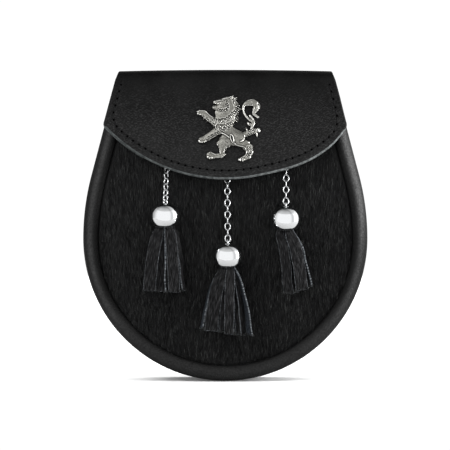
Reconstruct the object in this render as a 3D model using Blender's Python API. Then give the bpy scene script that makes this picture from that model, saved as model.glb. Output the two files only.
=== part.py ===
"""Sporran pouch: a black leather pouch with a hair-on hide front, worn hanging on a strap.

Sizes are in millimetres and become metres when a mesh is made. Z is up, the front faces -Y
and +X is on the viewer's right. The origin is the middle of the strap tunnel on the back.
"""

import math

import bmesh
import bpy
from mathutils import Vector

MM = 0.001
CLEARANCE = 0.3  # between pieces that rest on each other

# Outline of the pouch from the front: a round bowl, a wide arc, then straight leaning sides.
TOP_Z = 35.0
BOWL_RADIUS = 92.2
BOWL_CENTRE_Z = -73.9
TOP_HALF_WIDTH = 69.0
SIDE_LEAN = math.radians(14.7)
BOWL_STEPS = 30
SIDE_ARC_STEPS = 3
SIDE_LINE_STEPS = 2

# Depth: the back is flat and upright, and the front leans out towards the foot.
BACK_Y = -3.0
DEPTH_AT_TOP = 25.6
DEPTH_GROWTH = 0.0816  # more depth for each mm further down
BACK_THICKNESS = 2.0
BACK_INSET = 0.6
BACK_TOP_Z = 28.0

# Gusset: one leather wall whose front edge rolls over into the rim round the hide panel.
GUSSET_TOP_Z = 28.0
GUSSET_SECTION = [
    # (inset from the outline, edge it is measured from, distance from that edge)
    (0.9, "back", 0.0),
    (0.0, "back", 4.0),
    (0.0, "front", 7.0),
    (0.7, "front", 3.4),
    (2.2, "front", 0.9),
    (4.2, "front", 0.0),
    (6.6, "front", 0.9),
    (8.4, "front", 0.3),
    (9.6, "front", 1.0),
    (10.0, "front", 3.0),
    (10.0, "front", 5.6),
    (8.3, "front", 5.6),
    (8.0, "front", 2.8),
    (4.4, "front", 2.0),
    (2.4, "front", 4.2),
    (1.8, "front", 7.4),
    (1.8, "back", 4.0),
    (2.7, "back", 0.0),
]

# Hide panel: set back inside the rim and slightly domed.
PANEL_INSET = 10.3
PANEL_SET_BACK = 3.0
PANEL_DOME = 2.0
PANEL_THICKNESS = 2.0
PANEL_TOP_Z = 20.0
PANEL_HUB_Z = -62.0
PANEL_RING_SCALES = (0.3, 0.55, 0.8, 1.0)

# Flap: a rear hem, a fold over the top, and a front with a fillet at each lower corner.
FLAP_THICKNESS = 2.0
FLAP_HEM_Z = 22.4
FLAP_FOLD_Z = 28.0
FLAP_FOLD_RADIUS = 7.0
FLAP_TOP_HALF_WIDTH = 69.5
FLAP_SIDE_SLOPE = 0.273
FLAP_CORNER_RADIUS = 5.2
FLAP_EDGE_RADIUS = 107.6
FLAP_EDGE_CENTRE_Z = 72.2
FLAP_TOP_SAG = 0.13  # share of the fold's height lost at its ends
FLAP_BULGE = 8.0
FLAP_FOLD_STEPS = 4
FLAP_SIDE_STEPS = 7
FLAP_EDGE_STEPS = 12
FLAP_FILLET_STEPS = 2
LINING_THICKNESS = 1.5
LINING_TOP_Z = 23.0

# Strap loop on the back, stitched down above and below the strap.
LOOP_HALF_WIDTH = 30.0
LOOP_THICKNESS = 2.2
LOOP_OUTER_BEND = 1.21  # how much further out in height the outer face bends than the inner
LOOP_FOOT_Z = 22.0
LOOP_BEND_Z = 16.5
LOOP_FLAT_Z = 14.0
LOOP_INSIDE_Y = 3.2

# Closure stud between the panel and the flap's lining.
STUD_Z = -12.0
STUD_RADIUS = 6.0
STUD_NECK_RADIUS = 3.5
STUD_BASE_THICKNESS = 1.6
STUD_CAP_THICKNESS = 0.8
STUD_TAPER = 0.6

# Chain links, the posts that they hang on, and the bells' eyes.
LINK_LENGTH = 5.65
LINK_WIDTH = 4.4
LINK_WIRE = 1.0
LINK_SEAT = 0.75  # from one link's wire centre to the next one's where they hook
LINK_STEPS = 10
LINK_SIDES = 5
POST_RADIUS = 0.8
POST_HEAD_RADIUS = 1.9
POST_LENGTH = 4.8
POST_HEAD_LENGTH = 0.8
EYE_RADIUS = 1.6
EYE_WIRE = 0.9
EYE_RISE = 2.1  # from the bell's top to the middle of the eye's highest wire

# Bell cap, turned about Z with its foot at zero, then the blind bore that holds the tassel.
BELL_HEIGHT = 15.5
BELL_SIDES = 14
BELL_BORE_RADIUS = 4.5
BELL_BORE_DEPTH = 5.0
BELL_BORE_POINT = 1.0  # depth of the cone at the bore's end
BELL_PROFILE = [
    # (radius, height above the foot)
    (0.0, 15.5),
    (3.6, 15.0),
    (6.7, 13.2),
    (8.7, 10.3),
    (9.3, 7.3),
    (8.9, 4.4),
    (7.5, 1.7),
    (5.3, 0.0),
    (4.5, 0.0),
]
BELL_PANEL_DISTANCE = 9.8

# Tassel head, turned about Z with the bell's foot at zero.
HEAD_SIDES = 10
HEAD_PROFILE = [
    # (radius, height above the bell's foot)
    (0.0, 4.6),
    (4.1, 4.6),
    (4.1, -0.6),
    (6.6, -2.4),
    (7.0, -5.0),
    (5.0, -9.0),
    (0.0, -10.0),
]
STRIP_THICKNESS = 1.7
STRIP_TIMES = (0.0, 0.25, 0.6, 1.0)
STRIP_START_HEIGHT = -3.0
STRIP_START_WIDTH = 0.6  # share of its width, which grows to the full width by the time 0.4
STRIP_KNEE_REACH = 0.75  # share of the way out at which a strip turns down
STRIP_KNEE_DROP = 0.3  # share of the way down there

# Each hanger is a post, a chain, a bell and a tassel.
# Strips: (start x, start y, end x, end y, end height, width, turn in degrees), from the bell's foot.
HANGERS = {
    "left": {
        "bell": (-38.6, -50.8),  # x and z of the bell's top
        "post_x": -37.6,
        "links": 8,
        "twist": 22.0,
        "strips": [
            (-4.0, -2.5, -9.9, -5.5, -41.5, 8.2, -14.0),
            (-1.0, -1.0, -2.4, -2.0, -40.0, 6.6, 62.0),
            (2.0, -4.0, 5.9, -8.0, -42.3, 7.5, 6.0),
            (4.5, -1.0, 12.4, -3.0, -41.0, 6.4, 50.0),
            (-3.0, 2.5, -6.5, 2.6, -40.5, 7.5, 8.0),
            (2.5, 2.8, 5.5, 2.8, -41.0, 7.5, -8.0),
        ],
    },
    "middle": {
        "bell": (1.6, -76.6),
        "post_x": 1.2,
        "links": 13,
        "twist": 0.0,
        "strips": [
            (-4.5, 0.0, -17.0, -2.0, -40.4, 6.5, 70.0),
            (-3.0, -4.0, -10.4, -6.5, -41.0, 10.2, -10.0),
            (0.5, -4.5, 0.8, -8.5, -42.8, 6.4, 6.0),
            (3.0, -1.0, 7.4, -1.5, -44.0, 6.0, 20.0),
            (4.5, -2.0, 13.6, -5.5, -44.4, 6.6, 58.0),
            (-2.5, 2.6, -5.0, 2.5, -41.5, 7.5, 6.0),
            (3.0, 2.8, 9.5, 2.5, -42.5, 7.0, -12.0),
        ],
    },
    "right": {
        "bell": (39.0, -52.6),
        "post_x": 39.5,
        "links": 9,
        "twist": 0.0,
        "strips": [
            (-4.0, -2.5, 0.4, -6.5, -41.6, 6.2, -8.0),
            (2.0, -4.0, 9.4, -7.0, -39.0, 8.4, 8.0),
            (4.5, -1.0, 15.2, -2.5, -36.4, 6.4, 72.0),
            (-1.0, 0.5, 4.8, -1.5, -40.0, 6.0, 30.0),
            (-3.5, 2.6, 0.5, 2.6, -40.5, 6.5, 10.0),
            (2.5, 2.8, 8.5, 2.7, -38.5, 7.5, -8.0),
        ],
    },
}

# Lion badge: a rampant lion facing left, cast in relief. Places are from the badge's centre.
BADGE_X = 2.6
BADGE_Z = -2.3
BADGE_SIDES = 8
STROKE_END_SCALE = 0.55
CUTTER_HALF = 40.0  # of the block that cuts the badge's back flat
BADGE_STROKES = {
    # each row: (x, z, half width, height above the back)
    "head": [
        (2.4, 19.4, 2.2, 2.4),
        (-2.6, 16.9, 3.7, 3.4),
        (-7.0, 17.6, 2.0, 2.6),
        (-10.0, 17.6, 1.1, 1.8),
    ],
    "ear": [(1.0, 18.6, 1.6, 2.6), (3.4, 21.4, 0.7, 1.4)],
    "jaw": [(-4.5, 13.6, 2.2, 2.4), (-8.2, 13.3, 1.4, 2.0), (-10.9, 14.6, 0.7, 1.4)],
    "mane": [
        (2.6, 18.0, 3.2, 2.8),
        (1.0, 12.0, 6.0, 3.4),
        (-1.6, 6.8, 7.4, 3.8),
        (-3.0, 2.6, 4.6, 3.2),
    ],
    "torso": [
        (-2.2, 5.0, 6.0, 3.4),
        (-1.2, 0.8, 4.4, 3.2),
        (2.0, -2.6, 3.7, 3.0),
        (6.8, -5.4, 4.0, 3.2),
    ],
    "raised_foreleg": [
        (-5.0, 5.0, 2.4, 2.6),
        (-9.2, 5.6, 2.1, 2.4),
        (-14.4, 8.2, 1.9, 2.1),
        (-19.8, 10.2, 2.0, 2.0),
    ],
    "low_foreleg": [
        (-3.5, 0.5, 2.6, 2.6),
        (-6.4, -1.2, 2.3, 2.4),
        (-11.6, -4.1, 1.8, 2.1),
        (-18.6, -8.2, 2.0, 2.0),
    ],
    "left_thigh": [
        (3.0, -4.5, 3.0, 2.8),
        (-1.8, -7.8, 3.7, 3.0),
        (-4.2, -11.2, 2.2, 2.4),
        (-3.9, -17.0, 1.8, 2.0),
    ],
    "left_foot": [(-1.6, -17.0, 1.2, 1.6), (-5.0, -17.4, 1.7, 2.0), (-12.6, -17.5, 2.3, 2.0)],
    "right_thigh": [
        (6.8, -6.4, 3.4, 3.0),
        (11.3, -9.8, 2.4, 2.6),
        (13.9, -13.0, 1.9, 2.2),
        (12.7, -17.5, 1.6, 2.0),
    ],
    "right_foot": [(13.4, -16.6, 1.6, 2.0), (11.2, -18.6, 1.8, 2.0), (6.8, -19.6, 1.9, 1.8)],
    "rump_tuft": [
        (8.6, -3.6, 2.4, 2.4),
        (14.8, -1.7, 1.6, 1.8),
        (18.7, -0.4, 1.1, 1.6),
        (20.6, -1.2, 1.2, 1.6),
    ],
    "tail_stem": [
        (14.8, -1.9, 1.4, 1.8),
        (15.8, 1.8, 1.1, 1.6),
        (16.5, 4.8, 1.1, 1.6),
        (13.8, 6.6, 1.1, 1.6),
    ],
    "tail_loop": [
        (14.8, 5.6, 1.1, 1.6),
        (11.4, 7.6, 1.0, 1.6),
        (9.4, 10.8, 0.9, 1.6),
        (9.2, 13.8, 0.9, 1.6),
        (10.8, 16.6, 1.2, 1.6),
        (14.0, 18.2, 1.8, 1.8),
        (17.6, 17.6, 1.7, 1.8),
        (19.4, 15.2, 1.2, 1.6),
        (18.6, 12.6, 1.0, 1.6),
        (15.8, 10.0, 1.0, 1.6),
        (19.6, 7.4, 0.8, 1.4),
    ],
    "mane_bridge": [(5.0, 12.4, 1.2, 1.6), (9.6, 12.4, 0.9, 1.4)],
}

# Finishes: (colour, metallic, roughness)
LEATHER = ((0.021, 0.021, 0.022, 1.0), 0.0, 0.5)
HIDE = ((0.006, 0.006, 0.006, 1.0), 0.0, 0.85)
CHROME = ((0.9, 0.9, 0.9, 1.0), 1.0, 0.08)
PEWTER = ((0.42, 0.41, 0.38, 1.0), 1.0, 0.35)


def clear_scene():
    for obj in list(bpy.data.objects):
        bpy.data.objects.remove(obj, do_unlink=True)


def make_object(name, points, faces, finish):
    """An object with its own material, from points in millimetres and faces that close a body or a sheet."""
    mesh = bpy.data.meshes.new(name)
    mesh.from_pydata([Vector(point) * MM for point in points], [], faces)
    bm = bmesh.new()
    bm.from_mesh(mesh)
    bmesh.ops.remove_doubles(bm, verts=bm.verts, dist=0.001 * MM)
    bmesh.ops.recalc_face_normals(bm, faces=bm.faces)
    bm.to_mesh(mesh)
    bm.free()
    obj = bpy.data.objects.new(name, mesh)
    bpy.context.scene.collection.objects.link(obj)
    colour, metallic, roughness = finish
    material = bpy.data.materials.new(name)
    material.use_nodes = True
    shader = material.node_tree.nodes["Principled BSDF"]
    shader.inputs["Base Color"].default_value = colour
    shader.inputs["Metallic"].default_value = metallic
    shader.inputs["Roughness"].default_value = roughness
    obj.data.materials.append(material)
    shade_smooth(obj)
    return obj


def shade_smooth(obj):
    obj.data.shade_smooth()
    obj.data.set_sharp_from_angle(angle=math.radians(40))


def grid_faces(rows, columns, rows_close=False, columns_close=False):
    """Quads over a grid of points listed row by row, joined end to start where a direction closes."""
    faces = []
    for row in range(rows if rows_close else rows - 1):
        for column in range(columns if columns_close else columns - 1):
            below = (row + 1) % rows
            beside = (column + 1) % columns
            faces.append(
                (
                    row * columns + column,
                    row * columns + beside,
                    below * columns + beside,
                    below * columns + column,
                )
            )
    return faces


def loft(rings, closed_path=False):
    """Points and faces of a body through equal closed rings, capped unless its path closes."""
    rows, columns = len(rings), len(rings[0])
    points = [point for ring in rings for point in ring]
    faces = grid_faces(rows, columns, rows_close=closed_path, columns_close=True)
    if not closed_path:
        last = (rows - 1) * columns
        faces.append(tuple(range(columns)))
        faces.append(tuple(range(last, last + columns)))
    return points, faces


def turn(profile, sides):
    """Points and faces of a profile of (radius, height) turned about Z. Points on the axis merge later."""
    rings = []
    for radius, height in profile:
        angles = [2 * math.pi * side / sides for side in range(sides)]
        rings.append([(radius * math.cos(a), radius * math.sin(a), height) for a in angles])
    points = [point for ring in rings for point in ring]
    return points, grid_faces(len(rings), sides, columns_close=True)


def fuse(body, others):
    """The Boolean union of a body with others that overlap it, as the body's own mesh."""
    for other in others:
        modifier = body.modifiers.new("fuse", "BOOLEAN")
        modifier.operation = "UNION"
        modifier.object = other
        modifier.use_self = True
    replace_by_evaluated(body)
    for other in others:
        bpy.data.objects.remove(other, do_unlink=True)
    shade_smooth(body)


def replace_by_evaluated(obj):
    graph = bpy.context.evaluated_depsgraph_get()
    mesh = bpy.data.meshes.new_from_object(obj.evaluated_get(graph))
    obj.modifiers.clear()
    obj.data = mesh


def side_arc_radius():
    """Radius of the arc that leaves the bowl upright and meets the leaning side in a tangent."""
    line = TOP_HALF_WIDTH * math.cos(SIDE_LEAN) + TOP_Z * math.sin(SIDE_LEAN)
    reach = BOWL_RADIUS * math.cos(SIDE_LEAN) + BOWL_CENTRE_Z * math.sin(SIDE_LEAN)
    return (line - reach) / (1 - math.cos(SIDE_LEAN))


def outline(inset, top_z):
    """The pouch's outline, inset and cut level at top_z, from the right end round the foot to the left."""
    wide = side_arc_radius()
    right = []
    for step in range(BOWL_STEPS // 2 + 1):
        angle = -math.pi / 2 + math.pi * step / BOWL_STEPS
        radius = BOWL_RADIUS - inset
        right.append((radius * math.cos(angle), BOWL_CENTRE_Z + radius * math.sin(angle)))
    for step in range(1, SIDE_ARC_STEPS + 1):
        angle = SIDE_LEAN * step / SIDE_ARC_STEPS
        radius = wide - inset
        x = BOWL_RADIUS - wide + radius * math.cos(angle)
        right.append((x, BOWL_CENTRE_Z + radius * math.sin(angle)))
    x_start, z_start = right[-1]
    for step in range(1, SIDE_LINE_STEPS + 1):
        z = z_start + (top_z - z_start) * step / SIDE_LINE_STEPS
        right.append((x_start - (z - z_start) * math.tan(SIDE_LEAN), z))
    left = [(-x, z) for x, z in right[1:]]
    return right[::-1] + left


def front_y(z):
    """Y of the rim's crest at a height."""
    return BACK_Y - DEPTH_AT_TOP - (TOP_Z - z) * DEPTH_GROWTH


def panel_y(x, z):
    """Y of the hide panel's front: the rim's plane, set back, less a round dome about the bowl's centre."""
    radius = BOWL_RADIUS - PANEL_INSET
    from_centre = (x * x + (z - BOWL_CENTRE_Z) ** 2) / radius**2
    return front_y(z) + PANEL_SET_BACK - PANEL_DOME * max(0.0, 1 - from_centre)


def flap_y(x, z, stand_off):
    """Y of a flap layer that stands off the rim, and bulges most at its lowest point."""
    widest = FLAP_TOP_HALF_WIDTH + FLAP_SIDE_SLOPE * TOP_Z
    across = 1 - (x / widest) ** 2
    lowest = FLAP_EDGE_CENTRE_Z - FLAP_EDGE_RADIUS
    down = max(0.0, (FLAP_FOLD_Z - z) / (FLAP_FOLD_Z - lowest))
    return front_y(z) - stand_off - FLAP_BULGE * across * down


def flap_outer_stand_off():
    return CLEARANCE + LINING_THICKNESS + CLEARANCE + FLAP_THICKNESS


def make_back_panel():
    edge = outline(BACK_INSET, BACK_TOP_Z)
    rear = [(x, BACK_Y, z) for x, z in edge]
    front = [(x, BACK_Y - BACK_THICKNESS, z) for x, z in edge]
    points, faces = loft([rear, front])
    make_object("back_panel", points, faces, LEATHER)


def make_gusset():
    back_y = BACK_Y - BACK_THICKNESS - CLEARANCE
    edges = [outline(inset, GUSSET_TOP_Z) for inset, _, _ in GUSSET_SECTION]
    rings = []
    for station in range(len(edges[0])):
        ring = []
        for edge, (_, side, distance) in zip(edges, GUSSET_SECTION):
            x, z = edge[station]
            y = back_y - distance if side == "back" else front_y(z) + distance
            ring.append((x, y, z))
        rings.append(ring)
    points, faces = loft(rings)
    make_object("gusset", points, faces, LEATHER)


def make_front_panel():
    edge = outline(PANEL_INSET, PANEL_TOP_Z)
    right_x = edge[0][0]
    edge += [(right_x * share, PANEL_TOP_Z) for share in (-0.5, 0.0, 0.5)]
    count = len(edge)
    rows = []
    for scale in PANEL_RING_SCALES:
        rows.append([(x * scale, PANEL_HUB_Z + (z - PANEL_HUB_Z) * scale) for x, z in edge])
    flat = [(0.0, PANEL_HUB_Z)] + [point for row in rows for point in row]
    fan = [(0, 1 + side, 1 + (side + 1) % count) for side in range(count)]
    rings = [tuple(1 + i for i in face) for face in grid_faces(len(rows), count, columns_close=True)]
    sheet = fan + rings
    front = [(x, panel_y(x, z), z) for x, z in flat]
    rear = [(x, y + PANEL_THICKNESS, z) for x, y, z in front]
    behind = [tuple(len(flat) + i for i in reversed(face)) for face in sheet]
    first = 1 + (len(rows) - 1) * count
    wall = []
    for side in range(count):
        here, beside = first + side, first + (side + 1) % count
        wall.append((here, beside, len(flat) + beside, len(flat) + here))
    make_object("front_panel", front + rear, sheet + behind + wall, HIDE)


def flap_corner():
    """Centre and the two end angles of the fillet between the flap's right side and its lower edge."""
    lean = math.atan(FLAP_SIDE_SLOPE)
    along = (-math.sin(lean), math.cos(lean))
    line = FLAP_TOP_HALF_WIDTH * math.cos(lean) + TOP_Z * math.sin(lean) - FLAP_CORNER_RADIUS
    across_gap = line - FLAP_EDGE_CENTRE_Z * math.sin(lean)
    reach = FLAP_EDGE_RADIUS - FLAP_CORNER_RADIUS
    down = FLAP_EDGE_CENTRE_Z * along[1] - math.sqrt(reach**2 - across_gap**2)
    centre = (line * math.cos(lean) + down * along[0], line * math.sin(lean) + down * along[1])
    low_angle = math.atan2(centre[1] - FLAP_EDGE_CENTRE_Z, centre[0])
    return centre, lean, low_angle


def fillet_points(start, end):
    """Points on the flap's right fillet between two shares of its sweep."""
    centre, high, low = flap_corner()
    points = []
    for step in range(FLAP_FILLET_STEPS + 1):
        angle = high + (low - high) * (start + (end - start) * step / FLAP_FILLET_STEPS)
        x = centre[0] + FLAP_CORNER_RADIUS * math.cos(angle)
        points.append((x, centre[1] + FLAP_CORNER_RADIUS * math.sin(angle)))
    return points


def flap_front_grid(top_z):
    """Rows of (x, z) over the flap's front: a Coons patch between its top, sides and lower edge."""
    upper_fillet = fillet_points(0.0, 0.5)
    lower_fillet = fillet_points(0.5, 1.0)
    top_x = FLAP_TOP_HALF_WIDTH + FLAP_SIDE_SLOPE * (TOP_Z - top_z)
    right = []
    for step in range(FLAP_SIDE_STEPS):
        share = step / FLAP_SIDE_STEPS
        x = top_x + (upper_fillet[0][0] - top_x) * share
        right.append((x, top_z + (upper_fillet[0][1] - top_z) * share))
    right += upper_fillet
    _, _, low_angle = flap_corner()
    edge = [(-x, z) for x, z in lower_fillet]
    for step in range(1, FLAP_EDGE_STEPS):
        angle = -math.pi - low_angle + (2 * low_angle + math.pi) * step / FLAP_EDGE_STEPS
        x = FLAP_EDGE_RADIUS * math.cos(angle)
        edge.append((x, FLAP_EDGE_CENTRE_Z + FLAP_EDGE_RADIUS * math.sin(angle)))
    edge += lower_fillet[::-1]
    corner_x, corner_z = right[-1]
    rows = []
    for row, (side_x, side_z) in enumerate(right):
        v = row / (len(right) - 1)
        points = []
        for edge_x, edge_z in edge:
            u = 0.5 + 0.5 * edge_x / corner_x
            x = (1 - v) * (2 * u - 1) * top_x + v * edge_x
            x += (2 * u - 1) * (side_x - (1 - v) * top_x - v * corner_x)
            z = (1 - v) * top_z + v * edge_z + side_z - (1 - v) * top_z - v * corner_z
            points.append((x, z))
        rows.append(points)
    return rows


def flap_fold_rows(columns_x):
    """Rows of points over the rear hem and the fold, ending just above the front's first row."""
    front = flap_y(0.0, FLAP_FOLD_Z, flap_outer_stand_off())
    rear = BACK_Y + CLEARANCE + FLAP_THICKNESS
    radius = FLAP_FOLD_RADIUS
    path = [(rear, FLAP_HEM_Z)]
    for centre_y, start in ((rear - radius, 0.0), (front + radius, math.pi / 2)):
        for step in range(FLAP_FOLD_STEPS + 1):
            angle = start + math.pi / 2 * step / FLAP_FOLD_STEPS
            path.append((centre_y + radius * math.cos(angle), FLAP_FOLD_Z + radius * math.sin(angle)))
    path.pop()
    widest = max(columns_x)
    rows = []
    for y, z in path:
        height = z - FLAP_FOLD_Z
        half_width = FLAP_TOP_HALF_WIDTH + FLAP_SIDE_SLOPE * (TOP_Z - max(z, FLAP_FOLD_Z))
        if y > (front + rear) / 2:
            half_width = FLAP_TOP_HALF_WIDTH
        row = []
        for x in columns_x:
            sag = 1 - FLAP_TOP_SAG * (x / widest) ** 2 if height > 0 else 1
            row.append((x * half_width / widest, y, FLAP_FOLD_Z + height * sag))
        rows.append(row)
    return rows


def make_flap_sheet(name, rows, thickness):
    points = [point for row in rows for point in row]
    sheet = make_object(name, points, grid_faces(len(rows), len(rows[0])), LEATHER)
    if sheet.data.polygons[-1].normal.y > 0:
        sheet.data.flip_normals()
    solidify = sheet.modifiers.new("thickness", "SOLIDIFY")
    solidify.thickness = thickness * MM
    solidify.offset = -1.0


def make_flap():
    front = flap_front_grid(FLAP_FOLD_Z)
    stand_off = flap_outer_stand_off()
    rows = flap_fold_rows([x for x, _ in front[0]])
    rows += [[(x, flap_y(x, z, stand_off), z) for x, z in row] for row in front]
    make_flap_sheet("flap", rows, FLAP_THICKNESS)


def make_flap_lining():
    stand_off = CLEARANCE + LINING_THICKNESS
    front = flap_front_grid(LINING_TOP_Z)
    rows = [[(x, flap_y(x, z, stand_off), z) for x, z in row] for row in front]
    make_flap_sheet("flap_lining", rows, LINING_THICKNESS)


def make_strap_loop():
    """A strip with a flat middle and two feet on the back panel, extruded across the back."""
    foot_y = BACK_Y + CLEARANCE
    inner = [
        (foot_y, LOOP_FOOT_Z),
        (foot_y, LOOP_BEND_Z),
        (LOOP_INSIDE_Y, LOOP_FLAT_Z),
        (LOOP_INSIDE_Y, -LOOP_FLAT_Z),
        (foot_y, -LOOP_BEND_Z),
        (foot_y, -LOOP_FOOT_Z),
    ]
    outer = [
        (foot_y + LOOP_THICKNESS, LOOP_FOOT_Z),
        (foot_y + LOOP_THICKNESS, LOOP_BEND_Z + LOOP_OUTER_BEND),
        (LOOP_INSIDE_Y + LOOP_THICKNESS, LOOP_FLAT_Z + LOOP_OUTER_BEND),
        (LOOP_INSIDE_Y + LOOP_THICKNESS, -LOOP_FLAT_Z - LOOP_OUTER_BEND),
        (foot_y + LOOP_THICKNESS, -LOOP_BEND_Z - LOOP_OUTER_BEND),
        (foot_y + LOOP_THICKNESS, -LOOP_FOOT_Z),
    ]
    section = inner + outer[::-1]
    rings = [[(x, y, z) for y, z in section] for x in (-LOOP_HALF_WIDTH, LOOP_HALF_WIDTH)]
    points, faces = loft(rings)
    make_object("strap_loop", points, faces, LEATHER)


def facing_front(profile, x, z, rear_y):
    """A turned profile laid along -Y: its heights run forward from rear_y."""
    points, faces = turn(profile, BELL_SIDES)
    return [(x + px, rear_y - pz, z + py) for px, py, pz in points], faces


def make_closure_stud():
    rear = panel_y(0.0, STUD_Z - STUD_RADIUS) - CLEARANCE
    length = rear - (flap_y(0.0, STUD_Z + STUD_RADIUS, CLEARANCE) + CLEARANCE)
    profile = [
        (0.0, 0.0),
        (STUD_RADIUS, 0.0),
        (STUD_RADIUS, STUD_BASE_THICKNESS),
        (STUD_NECK_RADIUS, STUD_BASE_THICKNESS + STUD_TAPER),
        (STUD_NECK_RADIUS, length - STUD_CAP_THICKNESS - STUD_TAPER),
        (STUD_RADIUS, length - STUD_CAP_THICKNESS),
        (STUD_RADIUS, length),
        (0.0, length),
    ]
    points, faces = facing_front(profile, 0.0, STUD_Z, rear)
    make_object("closure_stud", points, faces, CHROME)


def bell_foot(hanger):
    """The middle of the bell's flat foot, with the bell just clear of the hide panel."""
    x, top_z = hanger["bell"]
    widest_z = top_z - BELL_HEIGHT / 2
    return Vector((x, panel_y(x, widest_z) - BELL_PANEL_DISTANCE, top_z - BELL_HEIGHT))


def eye_top(hanger):
    """The middle of the eye's wire at its highest point."""
    return bell_foot(hanger) + Vector((0, 0, BELL_HEIGHT + EYE_RISE))


def chain_length(hanger):
    """From the post's axis to the top of the eye, along the chain."""
    pitch = LINK_LENGTH - LINK_WIRE - LINK_SEAT
    hook = (POST_RADIUS + LINK_WIRE / 2) + (EYE_WIRE + LINK_WIRE) / 2 + 2 * CLEARANCE
    return pitch * (hanger["links"] - 1) + LINK_LENGTH - LINK_WIRE - hook


def post_axis(hanger):
    """Where the chain's line crosses the post, which lies half way along the post's stem."""
    low = eye_top(hanger)
    x = hanger["post_x"]
    high = Vector((x, 0, low.z))
    for _ in range(20):
        high.y = panel_y(x, high.z) - CLEARANCE - (POST_LENGTH - POST_HEAD_LENGTH) / 2
        across = math.hypot(high.x - low.x, high.y - low.y)
        high.z = low.z + math.sqrt(chain_length(hanger) ** 2 - across**2)
    return high


def ring_mesh(centre, long_axis, wide_axis, half_length, half_width, wire_radius):
    """An oval ring of round wire."""
    normal = long_axis.cross(wide_axis)
    rings = []
    for step in range(LINK_STEPS):
        angle = 2 * math.pi * step / LINK_STEPS
        outward = math.cos(angle) * long_axis + math.sin(angle) * wide_axis
        middle = centre + half_length * math.cos(angle) * long_axis
        middle += half_width * math.sin(angle) * wide_axis
        ring = []
        for side in range(LINK_SIDES):
            turned = 2 * math.pi * side / LINK_SIDES
            ring.append(middle + wire_radius * (math.cos(turned) * outward + math.sin(turned) * normal))
        rings.append(ring)
    return loft(rings, closed_path=True)


def chain_frame(hanger):
    """Unit vectors down the chain, across it to the right, and the third one."""
    down = (eye_top(hanger) - post_axis(hanger)).normalized()
    right = (Vector((1, 0, 0)) - down.x * down).normalized()
    return down, right, down.cross(right)


def link_turn(hanger, index):
    """How far a link is turned about the chain: a quarter turn each, and the twist of the first two links."""
    return math.pi / 2 * index + math.radians(hanger["twist"]) * min(index, 2)


def make_chain(name, hanger):
    down, right, out = chain_frame(hanger)
    pitch = LINK_LENGTH - LINK_WIRE - LINK_SEAT
    half_length = (LINK_LENGTH - LINK_WIRE) / 2
    half_width = (LINK_WIDTH - LINK_WIRE) / 2
    first = half_length - POST_RADIUS - CLEARANCE - LINK_WIRE / 2
    sets = [([], []), ([], [])]
    for index in range(hanger["links"]):
        angle = link_turn(hanger, index)
        wide = math.cos(angle) * right + math.sin(angle) * out
        centre = post_axis(hanger) + (first + pitch * index) * down
        points, faces = ring_mesh(centre, down, wide, half_length, half_width, LINK_WIRE / 2)
        all_points, all_faces = sets[index % 2]
        all_faces += [tuple(len(all_points) + i for i in face) for face in faces]
        all_points += points
    chain = make_object(name, *sets[0], CHROME)
    fuse(chain, [make_object("every_second_link", *sets[1], CHROME)])


def make_post(name, hanger):
    axis = post_axis(hanger)
    stem = POST_LENGTH - POST_HEAD_LENGTH
    profile = [
        (0.0, 0.0),
        (POST_RADIUS, 0.0),
        (POST_RADIUS, stem),
        (POST_HEAD_RADIUS, stem),
        (POST_HEAD_RADIUS, POST_LENGTH),
        (0.0, POST_LENGTH),
    ]
    rear = panel_y(axis.x, axis.z) - CLEARANCE
    points, faces = facing_front(profile, axis.x, axis.z, rear)
    make_object(name, points, faces, CHROME)


def make_bell(name, hanger):
    foot = bell_foot(hanger)
    bore = [(BELL_BORE_RADIUS, BELL_BORE_DEPTH), (0.0, BELL_BORE_DEPTH + BELL_BORE_POINT)]
    points, faces = turn(BELL_PROFILE + bore, BELL_SIDES)
    bell = make_object(name, [foot + Vector(point) for point in points], faces, CHROME)
    _, right, out = chain_frame(hanger)
    angle = link_turn(hanger, hanger["links"])
    wide = math.cos(angle) * right + math.sin(angle) * out
    up = Vector((0, 0, 1))
    wide = (wide - wide.z * up).normalized()
    centre = eye_top(hanger) - EYE_RADIUS * up
    ring = ring_mesh(centre, up, wide, EYE_RADIUS, EYE_RADIUS, EYE_WIRE / 2)
    fuse(bell, [make_object("eye", *ring, CHROME)])


def strip_mesh(foot, row):
    """One strip: a flat bar along a curve that leaves the head and soon hangs down."""
    start_x, start_y, end_x, end_y, end_height, width, turn_degrees = row
    start = Vector((start_x, start_y, STRIP_START_HEIGHT))
    end = Vector((end_x, end_y, end_height))
    knee = Vector((end_x, end_y, 0)) * STRIP_KNEE_REACH
    knee.z = STRIP_START_HEIGHT + (end_height - STRIP_START_HEIGHT) * STRIP_KNEE_DROP
    turned = math.radians(turn_degrees)
    rings = []
    for time in STRIP_TIMES:
        middle = start * (1 - time) ** 2 + knee * 2 * time * (1 - time) + end * time**2
        wide = Vector((math.cos(turned), math.sin(turned), 0))
        thick = Vector((-math.sin(turned), math.cos(turned), 0))
        half = width / 2 * min(1.0, STRIP_START_WIDTH + time)
        ring = []
        for across, through in ((-1, -1), (1, -1), (1, 1), (-1, 1)):
            offset = across * half * wide + through * STRIP_THICKNESS / 2 * thick
            ring.append(foot + middle + offset)
        rings.append(ring)
    return loft(rings)


def make_tassel(name, hanger):
    foot = bell_foot(hanger)
    points, faces = turn(HEAD_PROFILE, HEAD_SIDES)
    head = make_object(name, [foot + Vector(point) for point in points], faces, HIDE)
    strips = [make_object("strip", *strip_mesh(foot, row), HIDE) for row in hanger["strips"]]
    fuse(head, strips)


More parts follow.
